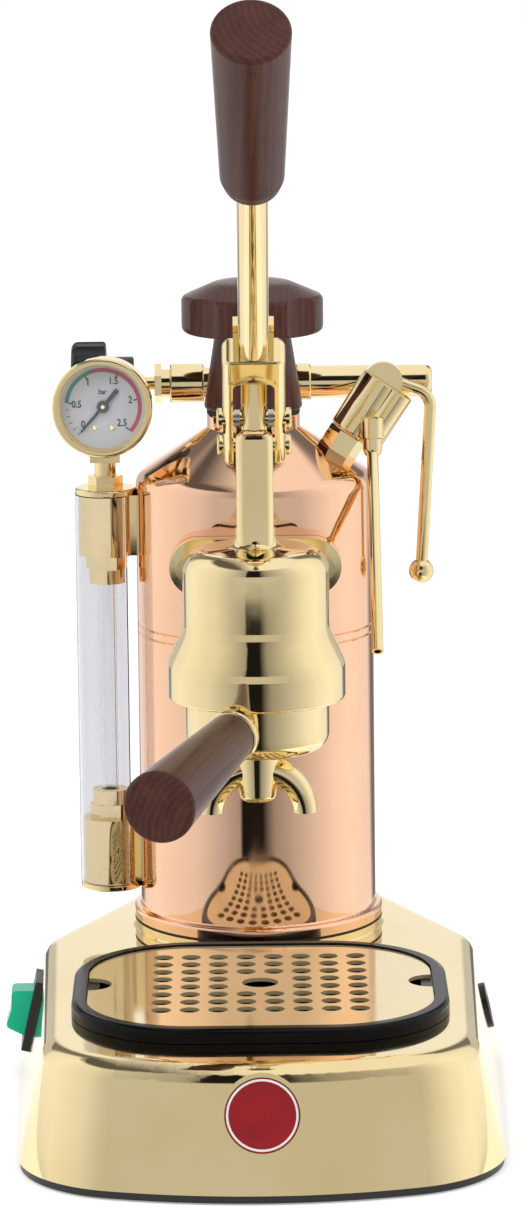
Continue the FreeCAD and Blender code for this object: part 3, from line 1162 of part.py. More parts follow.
def tap_hub():
    """Middle of the cam at the outer end of the tap."""
    seat = (TAP_R0, 0.0, cone_height(TAP_R0))
    return shifted(seat, tap_along(), TAP_NUT_T + TAP_BODY)


def wand_top():
    """Middle of the wand's ball under the swivel boss of the tap."""
    seat = (TAP_R0, 0.0, cone_height(TAP_R0))
    low = shifted(seat, tap_along(), TAP_NUT_T)
    across = (math.cos(CONE_LEAN), 0.0, -math.sin(CONE_LEAN))
    side = shifted(low, across, TAP_LOBE_OUT)
    return side[0] + WAND_OUT, side[1] - TAP_LOBE_FRONT - WAND_AHEAD, side[2] - WAND_DROP


def make_steam_tap():
    along = tap_along()
    seat = (TAP_R0, 0.0, cone_height(TAP_R0))
    sunk = shifted(seat, along, -TAP_NUT / 2)
    nut = hexagon(TAP_NUT, TAP_NUT_T + TAP_NUT / 2, sunk, along).cut(boiler_block())
    body_at = shifted(seat, along, TAP_NUT_T)
    body = turned([(0.0, 0.0), (TAP_BODY_R, 0.0, 2.0), (TAP_BODY_R, TAP_BODY, 0.4), (0.0, TAP_BODY)],
                  body_at, along)
    across = (math.cos(CONE_LEAN), 0.0, -math.sin(CONE_LEAN))
    lobe_at = shifted(shifted(body_at, across, TAP_LOBE_OUT), FRONT, TAP_LOBE_FRONT)
    lobe = turned([(0.0, 0.0), (TAP_LOBE_R, 0.0, 3.0), (TAP_LOBE_R, TAP_BODY, 0.4), (0.0, TAP_BODY)],
                  lobe_at, along)
    hub = tap_hub()
    slot_half = CAM_T / 2 + GAP
    slot = disc(CAM_R + GAP, 2 * slot_half, shifted(hub, BACK, slot_half), FRONT)
    top = wand_top()
    boss_at = shifted(top, (0, 0, 1), WAND_HEAD_H + GAP)
    boss = disc(WAND_BOSS_R, WAND_BOSS_H, boss_at)
    ball_room = WAND_HEAD_R + GAP
    scallop = disc(ball_room, ball_room + WAND_HEAD_H + GAP, shifted(top, DOWN, ball_room))
    tap = fused(nut, body, lobe).cut(scallop).fuse(boss).cut(slot)
    tap = tap.cut(disc(WAND_SPIGOT_R + FIT, WAND_SPIGOT + FIT, boss_at))
    return {"steam_valve_body": tap, "steam_lever": make_tap_lever(hub), "steam_wand": make_wand(top)}


def make_tap_lever(hub):
    """Cam disc with a bent round bar that ends in a ball."""
    cam = disc(CAM_R, CAM_T, shifted(hub, BACK, CAM_T / 2), FRONT)
    start = FreeCAD.Vector(hub[0] + CAM_R / 2, hub[1], hub[2])
    bend = FreeCAD.Vector(hub[0] + TAP_LEVER_OUT, hub[1], hub[2] - TAP_LEVER_DIP)
    ball = FreeCAD.Vector(hub[0] + TAP_LEVER_OUT - TAP_BALL_IN, hub[1], hub[2] - TAP_LEVER_DROP)
    corners = [(start.x, start.z), (bend.x, bend.z), (ball.x, ball.z)]
    half, to_before, to_after, between = corner_turn(corners, 1)
    reach = TAP_LEVER_BEND / math.tan(half)
    cut = TAP_LEVER_BEND / math.sin(half) - TAP_LEVER_BEND
    first = shifted(corners[1], to_before, reach)
    middle = shifted(corners[1], between, cut)
    last = shifted(corners[1], to_after, reach)
    points = [FreeCAD.Vector(x, hub[1], z) for x, z in (first, middle, last)]
    path = Part.Wire([Part.LineSegment(start, points[0]).toShape(), Part.Arc(*points).toShape(),
                      Part.LineSegment(points[2], ball).toShape()])
    section = Part.Wire(Part.makeCircle(TAP_LEVER_R, start, points[0] - start))
    bar = path.makePipeShell([section], True, True)
    return fused(cam, bar, Part.makeSphere(TAP_BALL_R, ball))


def wand_along():
    lean = math.radians(WAND_LEAN)
    return 0.0, -math.sin(lean), -math.cos(lean)


def make_wand(top):
    along = wand_along()
    head = disc(WAND_HEAD_R, WAND_HEAD_H, top)
    spigot = disc(WAND_SPIGOT_R, WAND_HEAD_H + GAP + WAND_SPIGOT, top)
    ball = Part.makeSphere(WAND_HEAD_R, vec(top))
    tube = disc(WAND_R, WAND_LENGTH, top, along)
    wand = fused(head, spigot, ball, tube)
    return wand.cut(disc(WAND_BORE, WAND_LENGTH, shifted(top, along, WAND_HEAD_R), along))


def build():
    pieces = {}
    for make in (make_base, make_tray, make_boiler, make_group, make_piston, make_lever, make_portafilter,
                 make_cap,
                 make_valve_line, make_sight_glass, make_gauge, make_steam_tap):
        pieces.update(make())
    return pieces


os.makedirs("parts", exist_ok=True)
for name, shape in build().items():
    shape.exportStep("parts/" + name + ".step")
    print(name, "solids", len(shape.Solids), "volume", round(shape.Volume), "valid", shape.isValid())
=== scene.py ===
# %% [markdown]
# # A lever espresso machine, dressed for its portrait
# The solids of this machine come from a CAD model that is already packed, with every piece
# in its true place and in metres. This lesson loads that frame and then works on what the
# eye sees: polished brass and copper, dark varnished wood, black mouldings, clear glass and
# a small printed dial.

# %% Load the frame
import json
import math

import bmesh
import bpy
from mathutils import Matrix, Vector


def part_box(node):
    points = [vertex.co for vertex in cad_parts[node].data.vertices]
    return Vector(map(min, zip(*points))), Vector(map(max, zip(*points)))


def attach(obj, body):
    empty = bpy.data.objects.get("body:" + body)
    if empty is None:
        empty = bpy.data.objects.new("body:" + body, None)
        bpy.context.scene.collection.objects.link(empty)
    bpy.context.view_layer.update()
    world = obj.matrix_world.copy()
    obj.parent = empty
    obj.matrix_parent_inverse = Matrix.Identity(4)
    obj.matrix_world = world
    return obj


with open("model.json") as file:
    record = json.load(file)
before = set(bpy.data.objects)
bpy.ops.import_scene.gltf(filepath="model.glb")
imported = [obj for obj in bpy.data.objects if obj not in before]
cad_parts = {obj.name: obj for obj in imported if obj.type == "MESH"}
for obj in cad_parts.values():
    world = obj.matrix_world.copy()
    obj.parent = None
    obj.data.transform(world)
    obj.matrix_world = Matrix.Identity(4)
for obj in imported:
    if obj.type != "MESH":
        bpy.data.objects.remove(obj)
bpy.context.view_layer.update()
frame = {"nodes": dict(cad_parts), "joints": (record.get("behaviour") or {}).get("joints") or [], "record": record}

scene = bpy.context.scene
scene.view_settings.view_transform = "Standard"

# %% [markdown]
# ## Where the camera stands
# The portrait was taken from a little above the machine with a long lens, so upright lines
# stay almost upright and the base shows its top. A camera could be aimed with a constraint,
# but three plain turns are easier to check: first lean the picture a little, then tilt the
# camera up from looking straight down, then turn it towards the machine.

# %% Camera
CAMERA_AT = (-0.005, -2.147, 0.6045)
LEAN = -0.6             # degrees about the line of sight
LOOK_DOWN = 10.9        # degrees below level
TURN = -0.22            # degrees about the upright, negative to the right
LENS = 148.05
SENSOR = 36.0

camera_data = bpy.data.cameras.new("portrait_camera")
camera_data.sensor_width = SENSOR
camera_data.lens = LENS
camera = bpy.data.objects.new("portrait_camera", camera_data)
camera.location = CAMERA_AT
aim = (Matrix.Rotation(math.radians(TURN), 3, "Z")
       @ Matrix.Rotation(math.radians(90 - LOOK_DOWN), 3, "X")
       @ Matrix.Rotation(math.radians(LEAN), 3, "Z"))
camera.rotation_euler = aim.to_euler()
scene.collection.objects.link(camera)
scene.camera = camera
print("camera", [round(v, 3) for v in camera.location], "lens", LENS)

# %% [markdown]
# ## Small tools for finishes
# A finish here is one Principled shader whose colour, roughness and bump come from noise.
# Values that are the same all over a surface are set on the shader's own sockets, so they
# survive when the model is exported. A finish could be wired by hand in the shader editor.
# In a script, three small tools that start a finish, add a node and fill a socket keep every
# later cell short.

# %% Finish tools
def new_finish(name, colour, roughness, **even):
    """A material with one Principled shader and its even values set on it."""
    finish = bpy.data.materials.new(name)
    finish.use_nodes = True
    shader = finish.node_tree.nodes["Principled BSDF"]
    shader.inputs["Base Color"].default_value = (*colour, 1.0)
    shader.inputs["Roughness"].default_value = roughness
    for socket, value in even.items():
        shader.inputs[socket.replace("_", " ")].default_value = value
    return finish


def add(owner, kind, **values):
    """A new node of a material or world: capital names are its sockets, the others its settings."""
    node = owner.node_tree.nodes.new("ShaderNode" + kind)
    for name, value in values.items():
        if name[0].isupper():
            node.inputs[name.replace("_", " ")].default_value = value
        else:
            setattr(node, name, value)
    return node


def join(owner, source, socket):
    """Link an output to a socket, or set a plain value; a name is a socket of the Principled shader."""
    if isinstance(socket, str):
        socket = owner.node_tree.nodes["Principled BSDF"].inputs[socket]
    if isinstance(source, bpy.types.NodeSocket):
        owner.node_tree.links.new(source, socket)
    else:
        socket.default_value = source


print("finish tools:", new_finish.__name__, add.__name__, join.__name__)

# %% [markdown]
# ## Noise in the right place and range
# Every pattern on this machine is noise on Object coordinates, which stay with a piece when it
# moves. A Mapping node centres, turns or stretches them first, so that grain and streaks run
# along a piece. Noise gathers round one half, so a ramp then picks the stretch of it that goes
# from one colour, roughness or height to another.

# %% Noise tools
def along(finish, size=(1, 1, 1), centre=(0, 0, 0), turn=(0, 0, 0)):
    """Object coordinates seen from centre, turned, and measured in units of size."""
    place = add(finish, "Mapping", vector_type="TEXTURE", Location=centre, Rotation=turn, Scale=size)
    join(finish, add(finish, "TexCoord").outputs["Object"], place.inputs["Vector"])
    return place.outputs["Vector"]


def noise(finish, where, scale, detail=4.0, roughness=0.55):
    """Noise with scale patches to a metre of the coordinates."""
    node = add(finish, "TexNoise", Scale=scale, Detail=detail, Roughness=roughness)
    join(finish, where, node.inputs["Vector"])
    return node.outputs["Fac"]


def between(finish, share, low, high, start=0.3, end=0.7):
    """Spread a share over a range: colours when low is a colour, else plain numbers."""
    if isinstance(low, tuple):
        ramp = add(finish, "ValToRGB")
        for stop, place, colour in zip(ramp.color_ramp.elements, (start, end), (low, high)):
            stop.position = place
            stop.color = (*colour, 1.0)
        join(finish, share, ramp.inputs["Fac"])
        return ramp.outputs["Color"]
    spread = add(finish, "MapRange", From_Min=start, From_Max=end, To_Min=low, To_Max=high)
    join(finish, share, spread.inputs["Value"])
    return spread.outputs["Result"]


print("noise tools:", along.__name__, noise.__name__, between.__name__)

# %% [markdown]
# ## Mixing and raising
# Wood has pores over its figure, glass passes some rays and bends others, and no buffed or
# moulded surface is quite flat. These tools mix two colours or two shaders, work out a number,
# and raise a surface through the shader's normal. Moving the mesh itself would also raise it,
# but at heights well under a millimetre that only costs faces.

# %% Mixing tools
def mixed(owner, share, one, other, kind="MIX"):
    """Two colours mixed by a share, or blended in another way."""
    node = add(owner, "Mix", data_type="RGBA", blend_type=kind)
    share_in, one_in, other_in, colour_out = 0, 6, 7, 2     # places of a Mix node's colour sockets
    for socket, source in ((share_in, share), (one_in, one), (other_in, other)):
        join(owner, source, node.inputs[socket])
    return node.outputs[colour_out]


def either_shader(owner, share, one, other):
    """Two shaders and a share: 0 shows the first, 1 the other."""
    node = add(owner, "MixShader")
    for socket, source in zip(node.inputs, (share, one, other)):
        join(owner, source, socket)
    return node.outputs["Shader"]


def worked_out(owner, operation, one, other):
    """One step of arithmetic on two outputs or plain numbers."""
    node = add(owner, "Math", operation=operation)
    for socket, source in zip(node.inputs, (one, other)):
        join(owner, source, socket)
    return node.outputs["Value"]


def bump(finish, height, strength, depth):
    """Raise the surface by a height, depth in metres."""
    node = add(finish, "Bump", Strength=strength, Distance=depth)
    join(finish, height, node.inputs["Height"])
    join(finish, node.outputs["Normal"], "Normal")


print("mixing tools:", mixed.__name__, either_shader.__name__, worked_out.__name__, bump.__name__)

# %% [markdown]
# ## Polished brass
# The base, the group, the lever and most fittings are brass, buffed to a mirror and lacquered.
# A mirror takes its looks from what stands around it, so the finish itself stays quiet: a pale
# gold that drifts a little, roughness that rises where hands leave a faint film, and a very
# low waviness from the buffing wheel. An image of scratches would repeat; noise doesn't.
# The drip grid is dressed as if under a thicker gold lacquer, so part of its colour stays its
# own, whatever it reflects.

# %% Brass finishes
BRASS_LIGHT = (0.93, 0.765, 0.44)
BRASS_DEEP = (0.86, 0.675, 0.345)


def brass_finish(name, low_rough, high_rough, wave, bare=1.0):
    """Brass with a film of handling and a slight waviness; bare is its metallic share."""
    finish = new_finish(name, BRASS_LIGHT, low_rough, Metallic=bare)
    where = along(finish)
    tone = noise(finish, where, scale=16.0, detail=5.0)
    join(finish, between(finish, tone, BRASS_LIGHT, BRASS_DEEP, start=0.35, end=0.8), "Base Color")
    film = noise(finish, where, scale=42.0, detail=7.0, roughness=0.62)
    join(finish, between(finish, film, low_rough, high_rough, start=0.42, end=0.72), "Roughness")
    bump(finish, noise(finish, where, scale=24.0, detail=2.0), strength=wave, depth=0.0006)
    return finish


mirror_brass = brass_finish("mirror_brass", low_rough=0.035, high_rough=0.10, wave=0.035)
turned_brass = brass_finish("turned_brass", low_rough=0.06, high_rough=0.16, wave=0.05)
grid_brass = brass_finish("grid_brass", low_rough=0.06, high_rough=0.14, wave=0.03, bare=0.62)
print("brass:", mirror_brass.name, turned_brass.name, grid_brass.name)

# %% [markdown]
# ## Polished copper
# The boiler is copper with the same mirror polish. Copper warms to orange where it reflects
# itself and looks peach where it meets white light, so its colour is set a little lighter than
# a raw ingot. Fine upright streaks in the roughness stand for the marks of polishing.

# %% Copper finish
COPPER_LIGHT = (0.965, 0.615, 0.415)
COPPER_DEEP = (0.90, 0.53, 0.33)


def copper_finish(name):
    """Mirror copper with upright streaks; noise stretched nine times along Z makes them."""
    finish = new_finish(name, COPPER_LIGHT, roughness=0.05, Metallic=1.0)
    where = along(finish)
    tone = noise(finish, where, scale=11.0, detail=5.0)
    join(finish, between(finish, tone, COPPER_LIGHT, COPPER_DEEP, start=0.4, end=0.85), "Base Color")
    streak = noise(finish, along(finish, size=(1, 1, 9)), scale=130.0, detail=5.0, roughness=0.6)
    join(finish, between(finish, streak, low=0.04, high=0.105, start=0.4, end=0.75), "Roughness")
    bump(finish, noise(finish, where, scale=14.0, detail=2.0), strength=0.03, depth=0.0008)
    return finish


mirror_copper = copper_finish("mirror_copper")
print("copper:", mirror_copper.name)

# %% [markdown]
# ## Machined steel
# The pieces inside and under the machine are mostly plain steel, such as the cylinder sleeve,
# the piston, the screen and the bottom plate. Steel from the lathe has fine lines and is duller
# than the brass. Noise squeezed flat along the height gives such lines without any drawing.

# %% Steel finish
STEEL = (0.62, 0.62, 0.63)
STEEL_DARK = (0.55, 0.55, 0.56)
STEEL_LIGHT = (0.7, 0.7, 0.71)


def steel_finish(name):
    """Steel with turning lines; noise squeezed to a twentieth along Z makes them."""
    finish = new_finish(name, STEEL, roughness=0.3, Metallic=1.0)
    lines = noise(finish, along(finish, size=(1, 1, 0.05)), scale=60.0, detail=6.0)
    join(finish, between(finish, lines, STEEL_DARK, STEEL_LIGHT), "Base Color")
    join(finish, between(finish, lines, low=0.22, high=0.4), "Roughness")
    bump(finish, lines, strength=0.15, depth=0.0002)
    return finish


machined_steel = steel_finish("machined_steel")
print("steel:", machined_steel.name)

# %% [markdown]
# ## Dark varnished wood
# The grips and the boiler cap are turned from dark reddish brown wood under a satin varnish.
# Grain runs along each grip, so each piece needs its own direction. The noise is stretched
# along that direction for the figure, made finer for the pores, and rings about a line beside
# it, the heart of the tree, give the curved growth lines that show on the flat ends. A sheen
# gives the pale rim that such varnish has where it is seen at a low angle.

# %% Wood finish
WOOD_DARK = (0.048, 0.014, 0.0095)
WOOD_WARM = (0.100, 0.032, 0.022)
PORE = (0.35, 0.3, 0.3)
NO_PORE = (1.0, 1.0, 1.0)
PORE_FROM, PORE_TO = 0.34, 0.44     # stretch of the noise at the edge of a pore
RING_SHARE = 0.35                   # share of the growth rings in the figure
PORE_SHARE = 0.55                   # how strongly the pores darken it
FIGURE_LONG, PORE_LONG, RING_LONG = (1, 1, 11), (1, 1, 16), (1, 1, 6)   # stretched along the grain


def wood_finish(name, node, toward, heart):
    """Wood whose grain runs from the point toward to the node's middle, with its heart beside that."""
    low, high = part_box(node)
    middle = (Vector(low) + Vector(high)) / 2
    grain = (middle - Vector(toward)).normalized()
    turn = grain.to_track_quat("Z", "Y").to_euler()
    finish = new_finish(name, WOOD_WARM, roughness=0.36, Specular_IOR_Level=0.1, Coat_Weight=0.3,
                        Coat_Roughness=0.3, Sheen_Weight=0.7, Sheen_Roughness=0.18)
    figure_place = along(finish, FIGURE_LONG, middle, turn)
    figure = noise(finish, figure_place, scale=170.0, detail=6.0, roughness=0.6)
    pore_place = along(finish, PORE_LONG, middle, turn)
    pores = noise(finish, pore_place, scale=1500.0, detail=3.0, roughness=0.5)
    rings = add(finish, "TexWave", wave_type="RINGS", rings_direction="Z", Scale=120.0, Distortion=3.5,
                Detail=3.0, Detail_Scale=0.8)
    beside = middle + turn.to_matrix() @ Vector(heart)
    join(finish, along(finish, RING_LONG, beside, turn), rings.inputs["Vector"])
    tone = between(finish, figure, WOOD_DARK, WOOD_WARM, start=0.3, end=0.72)
    growth = between(finish, rings.outputs["Fac"], WOOD_DARK, WOOD_WARM, start=0.1, end=0.95)
    specks = between(finish, pores, PORE, NO_PORE, PORE_FROM, PORE_TO)
    ringed = mixed(finish, RING_SHARE, tone, growth)
    join(finish, mixed(finish, PORE_SHARE, ringed, specks, "MULTIPLY"), "Base Color")
    join(finish, between(finish, figure, low=0.3, high=0.46), "Roughness")
    bump(finish, between(finish, pores, 0.0, 1.0, PORE_FROM, PORE_TO), strength=0.25, depth=0.00012)
    print("wood:", name, "grain", [round(v, 2) for v in grain])
    return finish


print("wood from", WOOD_DARK, "to", WOOD_WARM)

# %% [markdown]
# ## Three pieces of wood
# The grain of the lever's grip points away from the lever's pivot and that of the cap stands
# upright. The portafilter's grip points away from the middle of the bowl, a little below the
# group's rim, where its joint is. Each piece has its heart in another place, as if cut from
# another board.

# %% Wood of each grip
HANDLE_DROP = 0.0064        # the grip's line below the group's rim, at the middle of the bowl

joint_at = {joint["name"]: joint.get("pos_m") for joint in frame["joints"]}
bowl_middle = Vector(joint_at["portafilter_turn"]) - Vector((0, 0, HANDLE_DROP))
lever_wood = wood_finish("lever_wood", "lever_handle", joint_at["lever_swing"], heart=(0.02, 0.012, 0.0))
grip_wood = wood_finish("grip_wood", "portafilter_handle", bowl_middle, heart=(0.03, -0.01, 0.0))
cap_wood = wood_finish("cap_wood", "cap_knob", joint_at["cap_turn"], heart=(0.035, 0.02, 0.0))

# %% [markdown]
# ## Black mouldings and rubber
# Three blacks meet on this machine and each answers light in its own way: the tray is glossy,
# the rim, the knob, the gland and the switch's frame have a fine moulded grain, and the mat,
# gaskets and seals are dull rubber. One tool makes all three, because only the gloss, the grain
# and the depth of the colour differ.

# %% Black finishes
def black_finish(name, dark, worn, low_rough, high_rough, grain, raised, shine):
    """A black moulding: faint wear in its colour, film in its gloss, grain as bump."""
    finish = new_finish(name, dark, low_rough, Specular_IOR_Level=shine)
    where = along(finish)
    wear = noise(finish, where, scale=55.0, detail=6.0, roughness=0.6)
    join(finish, between(finish, wear, dark, worn, start=0.45, end=0.8), "Base Color")
    join(finish, between(finish, wear, low_rough, high_rough), "Roughness")
    bump(finish, noise(finish, where, grain, detail=3.0), strength=raised, depth=0.0002)
    return finish


gloss_black = black_finish("gloss_black_tray", dark=(0.003, 0.003, 0.0035), worn=(0.006, 0.006, 0.007),
                           low_rough=0.1, high_rough=0.2, grain=300.0, raised=0.02, shine=0.12)
moulded_black = black_finish("moulded_black", dark=(0.009, 0.009, 0.009), worn=(0.02, 0.02, 0.02),
                             low_rough=0.3, high_rough=0.45, grain=1800.0, raised=0.22, shine=0.4)
dull_rubber = black_finish("dull_rubber", dark=(0.022, 0.021, 0.02), worn=(0.05, 0.048, 0.046),
                           low_rough=0.62, high_rough=0.82, grain=900.0, raised=0.3, shine=0.4)
print("blacks:", gloss_black.name, moulded_black.name, dull_rubber.name)

# %% [markdown]
# ## Glass and clear plastic
# The gauge has a flat glass, and the sight glass is a tube with a clear plastic guard round it.
# Real glass lets lamp light through to what stands behind it. A ray tracer would leave that in
# shadow, so shadow rays pass straight through while all other rays see true glass.

# %% Clear finishes
def clear_finish(name, tint, bend, film):
    """Clear material that bends light, with faint wiping marks, and casts no hard shadow."""
    finish = new_finish(name, tint, roughness=0.0, Transmission_Weight=1.0, IOR=bend)
    marks = noise(finish, along(finish, size=(1, 1, 4)), scale=90.0, detail=5.0, roughness=0.6)
    join(finish, between(finish, marks, low=0.0, high=film, start=0.5, end=0.85), "Roughness")
    nodes = finish.node_tree.nodes
    passing = add(finish, "BsdfTransparent", Color=(*tint, 1.0))
    surface = either_shader(finish, add(finish, "LightPath").outputs["Is Shadow Ray"],
                            nodes["Principled BSDF"].outputs["BSDF"], passing.outputs["BSDF"])
    join(finish, surface, nodes["Material Output"].inputs["Surface"])
    return finish


clear_glass = clear_finish("clear_glass", tint=(0.97, 0.985, 0.985), bend=1.46, film=0.05)
clear_guard = clear_finish("clear_guard", tint=(0.78, 0.78, 0.805), bend=1.45, film=0.08)
print("clear:", clear_glass.name, clear_guard.name)

# %% [markdown]
# ## Enamels, inks and the green rocker
# The dial is a printed white plate, the needle is dark enamel, the round badge place is filled
# with plain red enamel, and the switch has a glossy green rocker. Thin enamel and ink pool a
# little, so their colour wanders slightly. Only the badge lies under a clear coat.

# %% Colour finishes
POOL_DULLER = 1.5           # roughness where the colour pools, against the rest
RIPPLES = 6                 # ripples to a pool


def colour_finish(name, light, deep, rough, scale, coat=0.0):
    """A colour that pools a little, under a clear coat where coat isn't 0."""
    finish = new_finish(name, light, rough, Coat_Weight=coat, Coat_Roughness=0.06, Specular_IOR_Level=0.25)
    where = along(finish)
    pool = noise(finish, where, scale, detail=4.0)
    join(finish, between(finish, pool, light, deep), "Base Color")
    join(finish, between(finish, pool, rough, rough * POOL_DULLER), "Roughness")
    bump(finish, noise(finish, where, scale * RIPPLES, detail=3.0), strength=0.05, depth=0.0001)
    return finish


dial_white = colour_finish("dial_white", light=(0.58, 0.565, 0.60), deep=(0.54, 0.525, 0.56),
                           rough=0.45, scale=120.0)
needle_dark = colour_finish("needle_dark", light=(0.045, 0.045, 0.06), deep=(0.065, 0.065, 0.085),
                            rough=0.4, scale=300.0)
badge_red = colour_finish("badge_red", light=(0.32, 0.006, 0.013), deep=(0.24, 0.004, 0.009),
                          rough=0.25, scale=90.0, coat=0.1)
badge_white = colour_finish("badge_white", light=(0.82, 0.81, 0.8), deep=(0.74, 0.73, 0.72),
                            rough=0.25, scale=120.0, coat=0.6)
rocker_green = colour_finish("rocker_green", light=(0.001, 0.60, 0.345), deep=(0.001, 0.53, 0.30),
                             rough=0.16, scale=60.0)
ink_black = colour_finish("ink_black", light=(0.012, 0.012, 0.015), deep=(0.02, 0.02, 0.024),
                          rough=0.45, scale=400.0)
ink_green = colour_finish("ink_green", light=(0.04, 0.23, 0.14), deep=(0.055, 0.26, 0.16),
                          rough=0.45, scale=400.0)
ink_red = colour_finish("ink_red", light=(0.43, 0.045, 0.075), deep=(0.48, 0.06, 0.09),
                        rough=0.45, scale=400.0)
print("colours:", dial_white.name, needle_dark.name, badge_red.name, badge_white.name, rocker_green.name)
print("inks:", ink_black.name, ink_green.name, ink_red.name)

# %% [markdown]
# ## Giving every solid its finish
# The record that came with the frame says which material slot each solid belongs to. One table
# from slot to finish dresses most of them. The small fittings take the slightly duller turned
# brass, and each wooden piece takes the wood made for its own grain. The piston rod's slot is
# steel, but the stretch of it that shows is brass, so it takes that.

# %% Dress the solids
slot_finish = {"brass": mirror_brass, "copper": mirror_copper, "steel": machined_steel,
               "black_plastic": moulded_black, "gloss_black": gloss_black, "rubber": dull_rubber,
               "clear": clear_glass, "clear_plastic": clear_guard, "red_enamel": badge_red,
               "white_enamel": dial_white, "dark_enamel": needle_dark, "green_plastic": rocker_green}
own_finish = {"lever_handle": lever_wood, "portafilter_handle": grip_wood, "cap_knob": cap_wood,
              "drip_grid": grid_brass}
for fitting in ("valve_manifold", "safety_valve", "vent_valve_body", "vent_spindle", "sight_nuts",
                "gauge_case", "group_bolts", "fulcrum_pin", "rod_pin", "cap_plug", "piston_rod"):
    own_finish[fitting] = turned_brass

for row in frame["record"]["subparts"]:
    solid = frame["nodes"][row["node"]]
    finish = own_finish.get(row["node"]) or slot_finish[row["material_slot"]]
    solid.data.materials.clear()
    solid.data.materials.append(finish)

# %% [markdown]
# ## A bench for the dial print
# Print on the dial is easiest to lay out flat, with the needle's spindle at the middle, right
# along X and up along Y. The needle's joint gives the spindle's place and direction, and the
# dial's own mesh says how far out its face is. One matrix then carries every mark to its place.

# %% Dial bench
def reach(node, origin, direction):
    """How far a solid reaches from origin in a direction."""
    return max((v.co - origin).dot(direction) for v in frame["nodes"][node].data.vertices)


def bench(origin, right, up, out):
    """Matrix from a flat layout to its place on the machine."""
    matrix = Matrix((right, up, out)).transposed().to_4x4()
    matrix.translation = origin
    return matrix


needle_joint = next(joint for joint in frame["joints"] if joint["name"] == "needle_turn")
spindle = Vector(needle_joint["pos_m"])
dial_out = -Vector(needle_joint["axis"]).normalized()
dial_up = Vector((0, 0, 1))
dial_right = dial_up.cross(dial_out).normalized()
dial_face = spindle + dial_out * reach("gauge_dial", spindle, dial_out)
dial_bench = bench(dial_face, dial_right, dial_up, dial_out)
print("dial face at", [round(v, 4) for v in dial_face])

# %% [markdown]
# ## From a bmesh to a piece
# A new piece is shaped flat or upright on its bench and then settled on the machine: doubles
# are merged, faces turned outwards, and the place is applied to the mesh, so that the object
# itself stays at the origin. The piece then rides on the body that carries it, and so moves
# with it.

# %% Settle a piece
MERGE = 1e-7                # points nearer than this are one


def settle(shape, name, place, body, finish, smooth=False):
    """Make a bmesh a piece of the machine: merged, placed, dressed and riding on its body."""
    bmesh.ops.remove_doubles(shape, verts=shape.verts, dist=MERGE)
    bmesh.ops.recalc_face_normals(shape, faces=shape.faces)
    bmesh.ops.transform(shape, matrix=place, verts=shape.verts)
    mesh = bpy.data.meshes.new(name)
    shape.to_mesh(mesh)
    shape.free()
    for face in mesh.polygons:
        face.use_smooth = smooth
    mesh.materials.append(finish)
    piece = bpy.data.objects.new(name, mesh)
    scene.collection.objects.link(piece)
    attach(piece, body)
    print(name, len(mesh.polygons), "faces on", body)


def print_on_dial(shape, name, finish):
    """Settle a flat print on the dial, which is part of the machine's body."""
    settle(shape, name, dial_bench, "machine", finish)


print("points merge within", MERGE, "m")

# %% [markdown]
# ## The coloured bands of the dial
# A band shows the working pressure in green and the rest in red. It is a ring sector: a short
# edge turned about the spindle makes the flat band, and pulling that band up by the thickness
# of the ink closes it. Spinning is safer than typing corners, because both rims stay round.

# %% Dial bands
ZERO_AT = 229.0             # degrees anticlockwise from three o'clock
SWEEP = 272.0               # degrees from zero to the full scale
FULL_SCALE = 2.5            # bar
GREEN_FROM, GREEN_TO = 0.5, 1.1
BAND_IN = 0.0149
BAND_OUT = 0.0166
INK = 0.00012


def dial_angle(value):
    """Angle of a reading, anticlockwise from three o'clock, in radians."""
    return math.radians(ZERO_AT - SWEEP * value / FULL_SCALE)


def pull_up(shape, height):
    """Give a flat shape a thickness along Z."""
    grown = bmesh.ops.extrude_face_region(shape, geom=shape.faces[:])
    raised = [part for part in grown["geom"] if isinstance(part, bmesh.types.BMVert)]
    bmesh.ops.translate(shape, vec=(0, 0, height), verts=raised)


def ring_sector(inner, outer, start, end, height, steps):
    """Flat ring sector between two angles, with a thickness."""
    shape = bmesh.new()
    ends = [shape.verts.new((radius * math.cos(start), radius * math.sin(start), 0))
            for radius in (inner, outer)]
    edge = shape.edges.new(ends)
    bmesh.ops.spin(shape, geom=ends + [edge], cent=(0, 0, 0), axis=(0, 0, 1), angle=end - start,
                   steps=steps, use_merge=math.isclose(abs(end - start), 2 * math.pi))
    bmesh.ops.remove_doubles(shape, verts=shape.verts, dist=MERGE)
    pull_up(shape, height)
    return shape


green_band = ring_sector(BAND_IN, BAND_OUT, dial_angle(GREEN_FROM), dial_angle(GREEN_TO), INK, steps=28)
print_on_dial(green_band, "dial_band_green", ink_green)
red_band = ring_sector(BAND_IN, BAND_OUT, dial_angle(GREEN_TO), dial_angle(FULL_SCALE), INK, steps=60)
print_on_dial(red_band, "dial_band_red", ink_red)

# %% [markdown]
# ## Marks on the dial
# Long marks stand at every half bar, inside the band, and fine marks fill the stretch from zero
# to the band. Each mark is a small flat grid turned to its angle; all of them are pulled up
# together by the thickness of the ink, so the whole set is one piece.

# %% Dial marks
HALF_BAR = 0.5
FINE_STEP = 0.1


def marks_at(values, inner, outer, width):
    """Radial marks at the readings, between two radii."""
    shape = bmesh.new()
    for value in values:
        turn = Matrix.Rotation(dial_angle(value), 4, "Z")
        place = turn @ Matrix.Translation(((inner + outer) / 2, 0, 0))
        size = Matrix.Diagonal(((outer - inner) / 2, width / 2, 1, 1))
        bmesh.ops.create_grid(shape, x_segments=2, y_segments=1, size=1.0, matrix=place @ size)
    pull_up(shape, INK)
    return shape


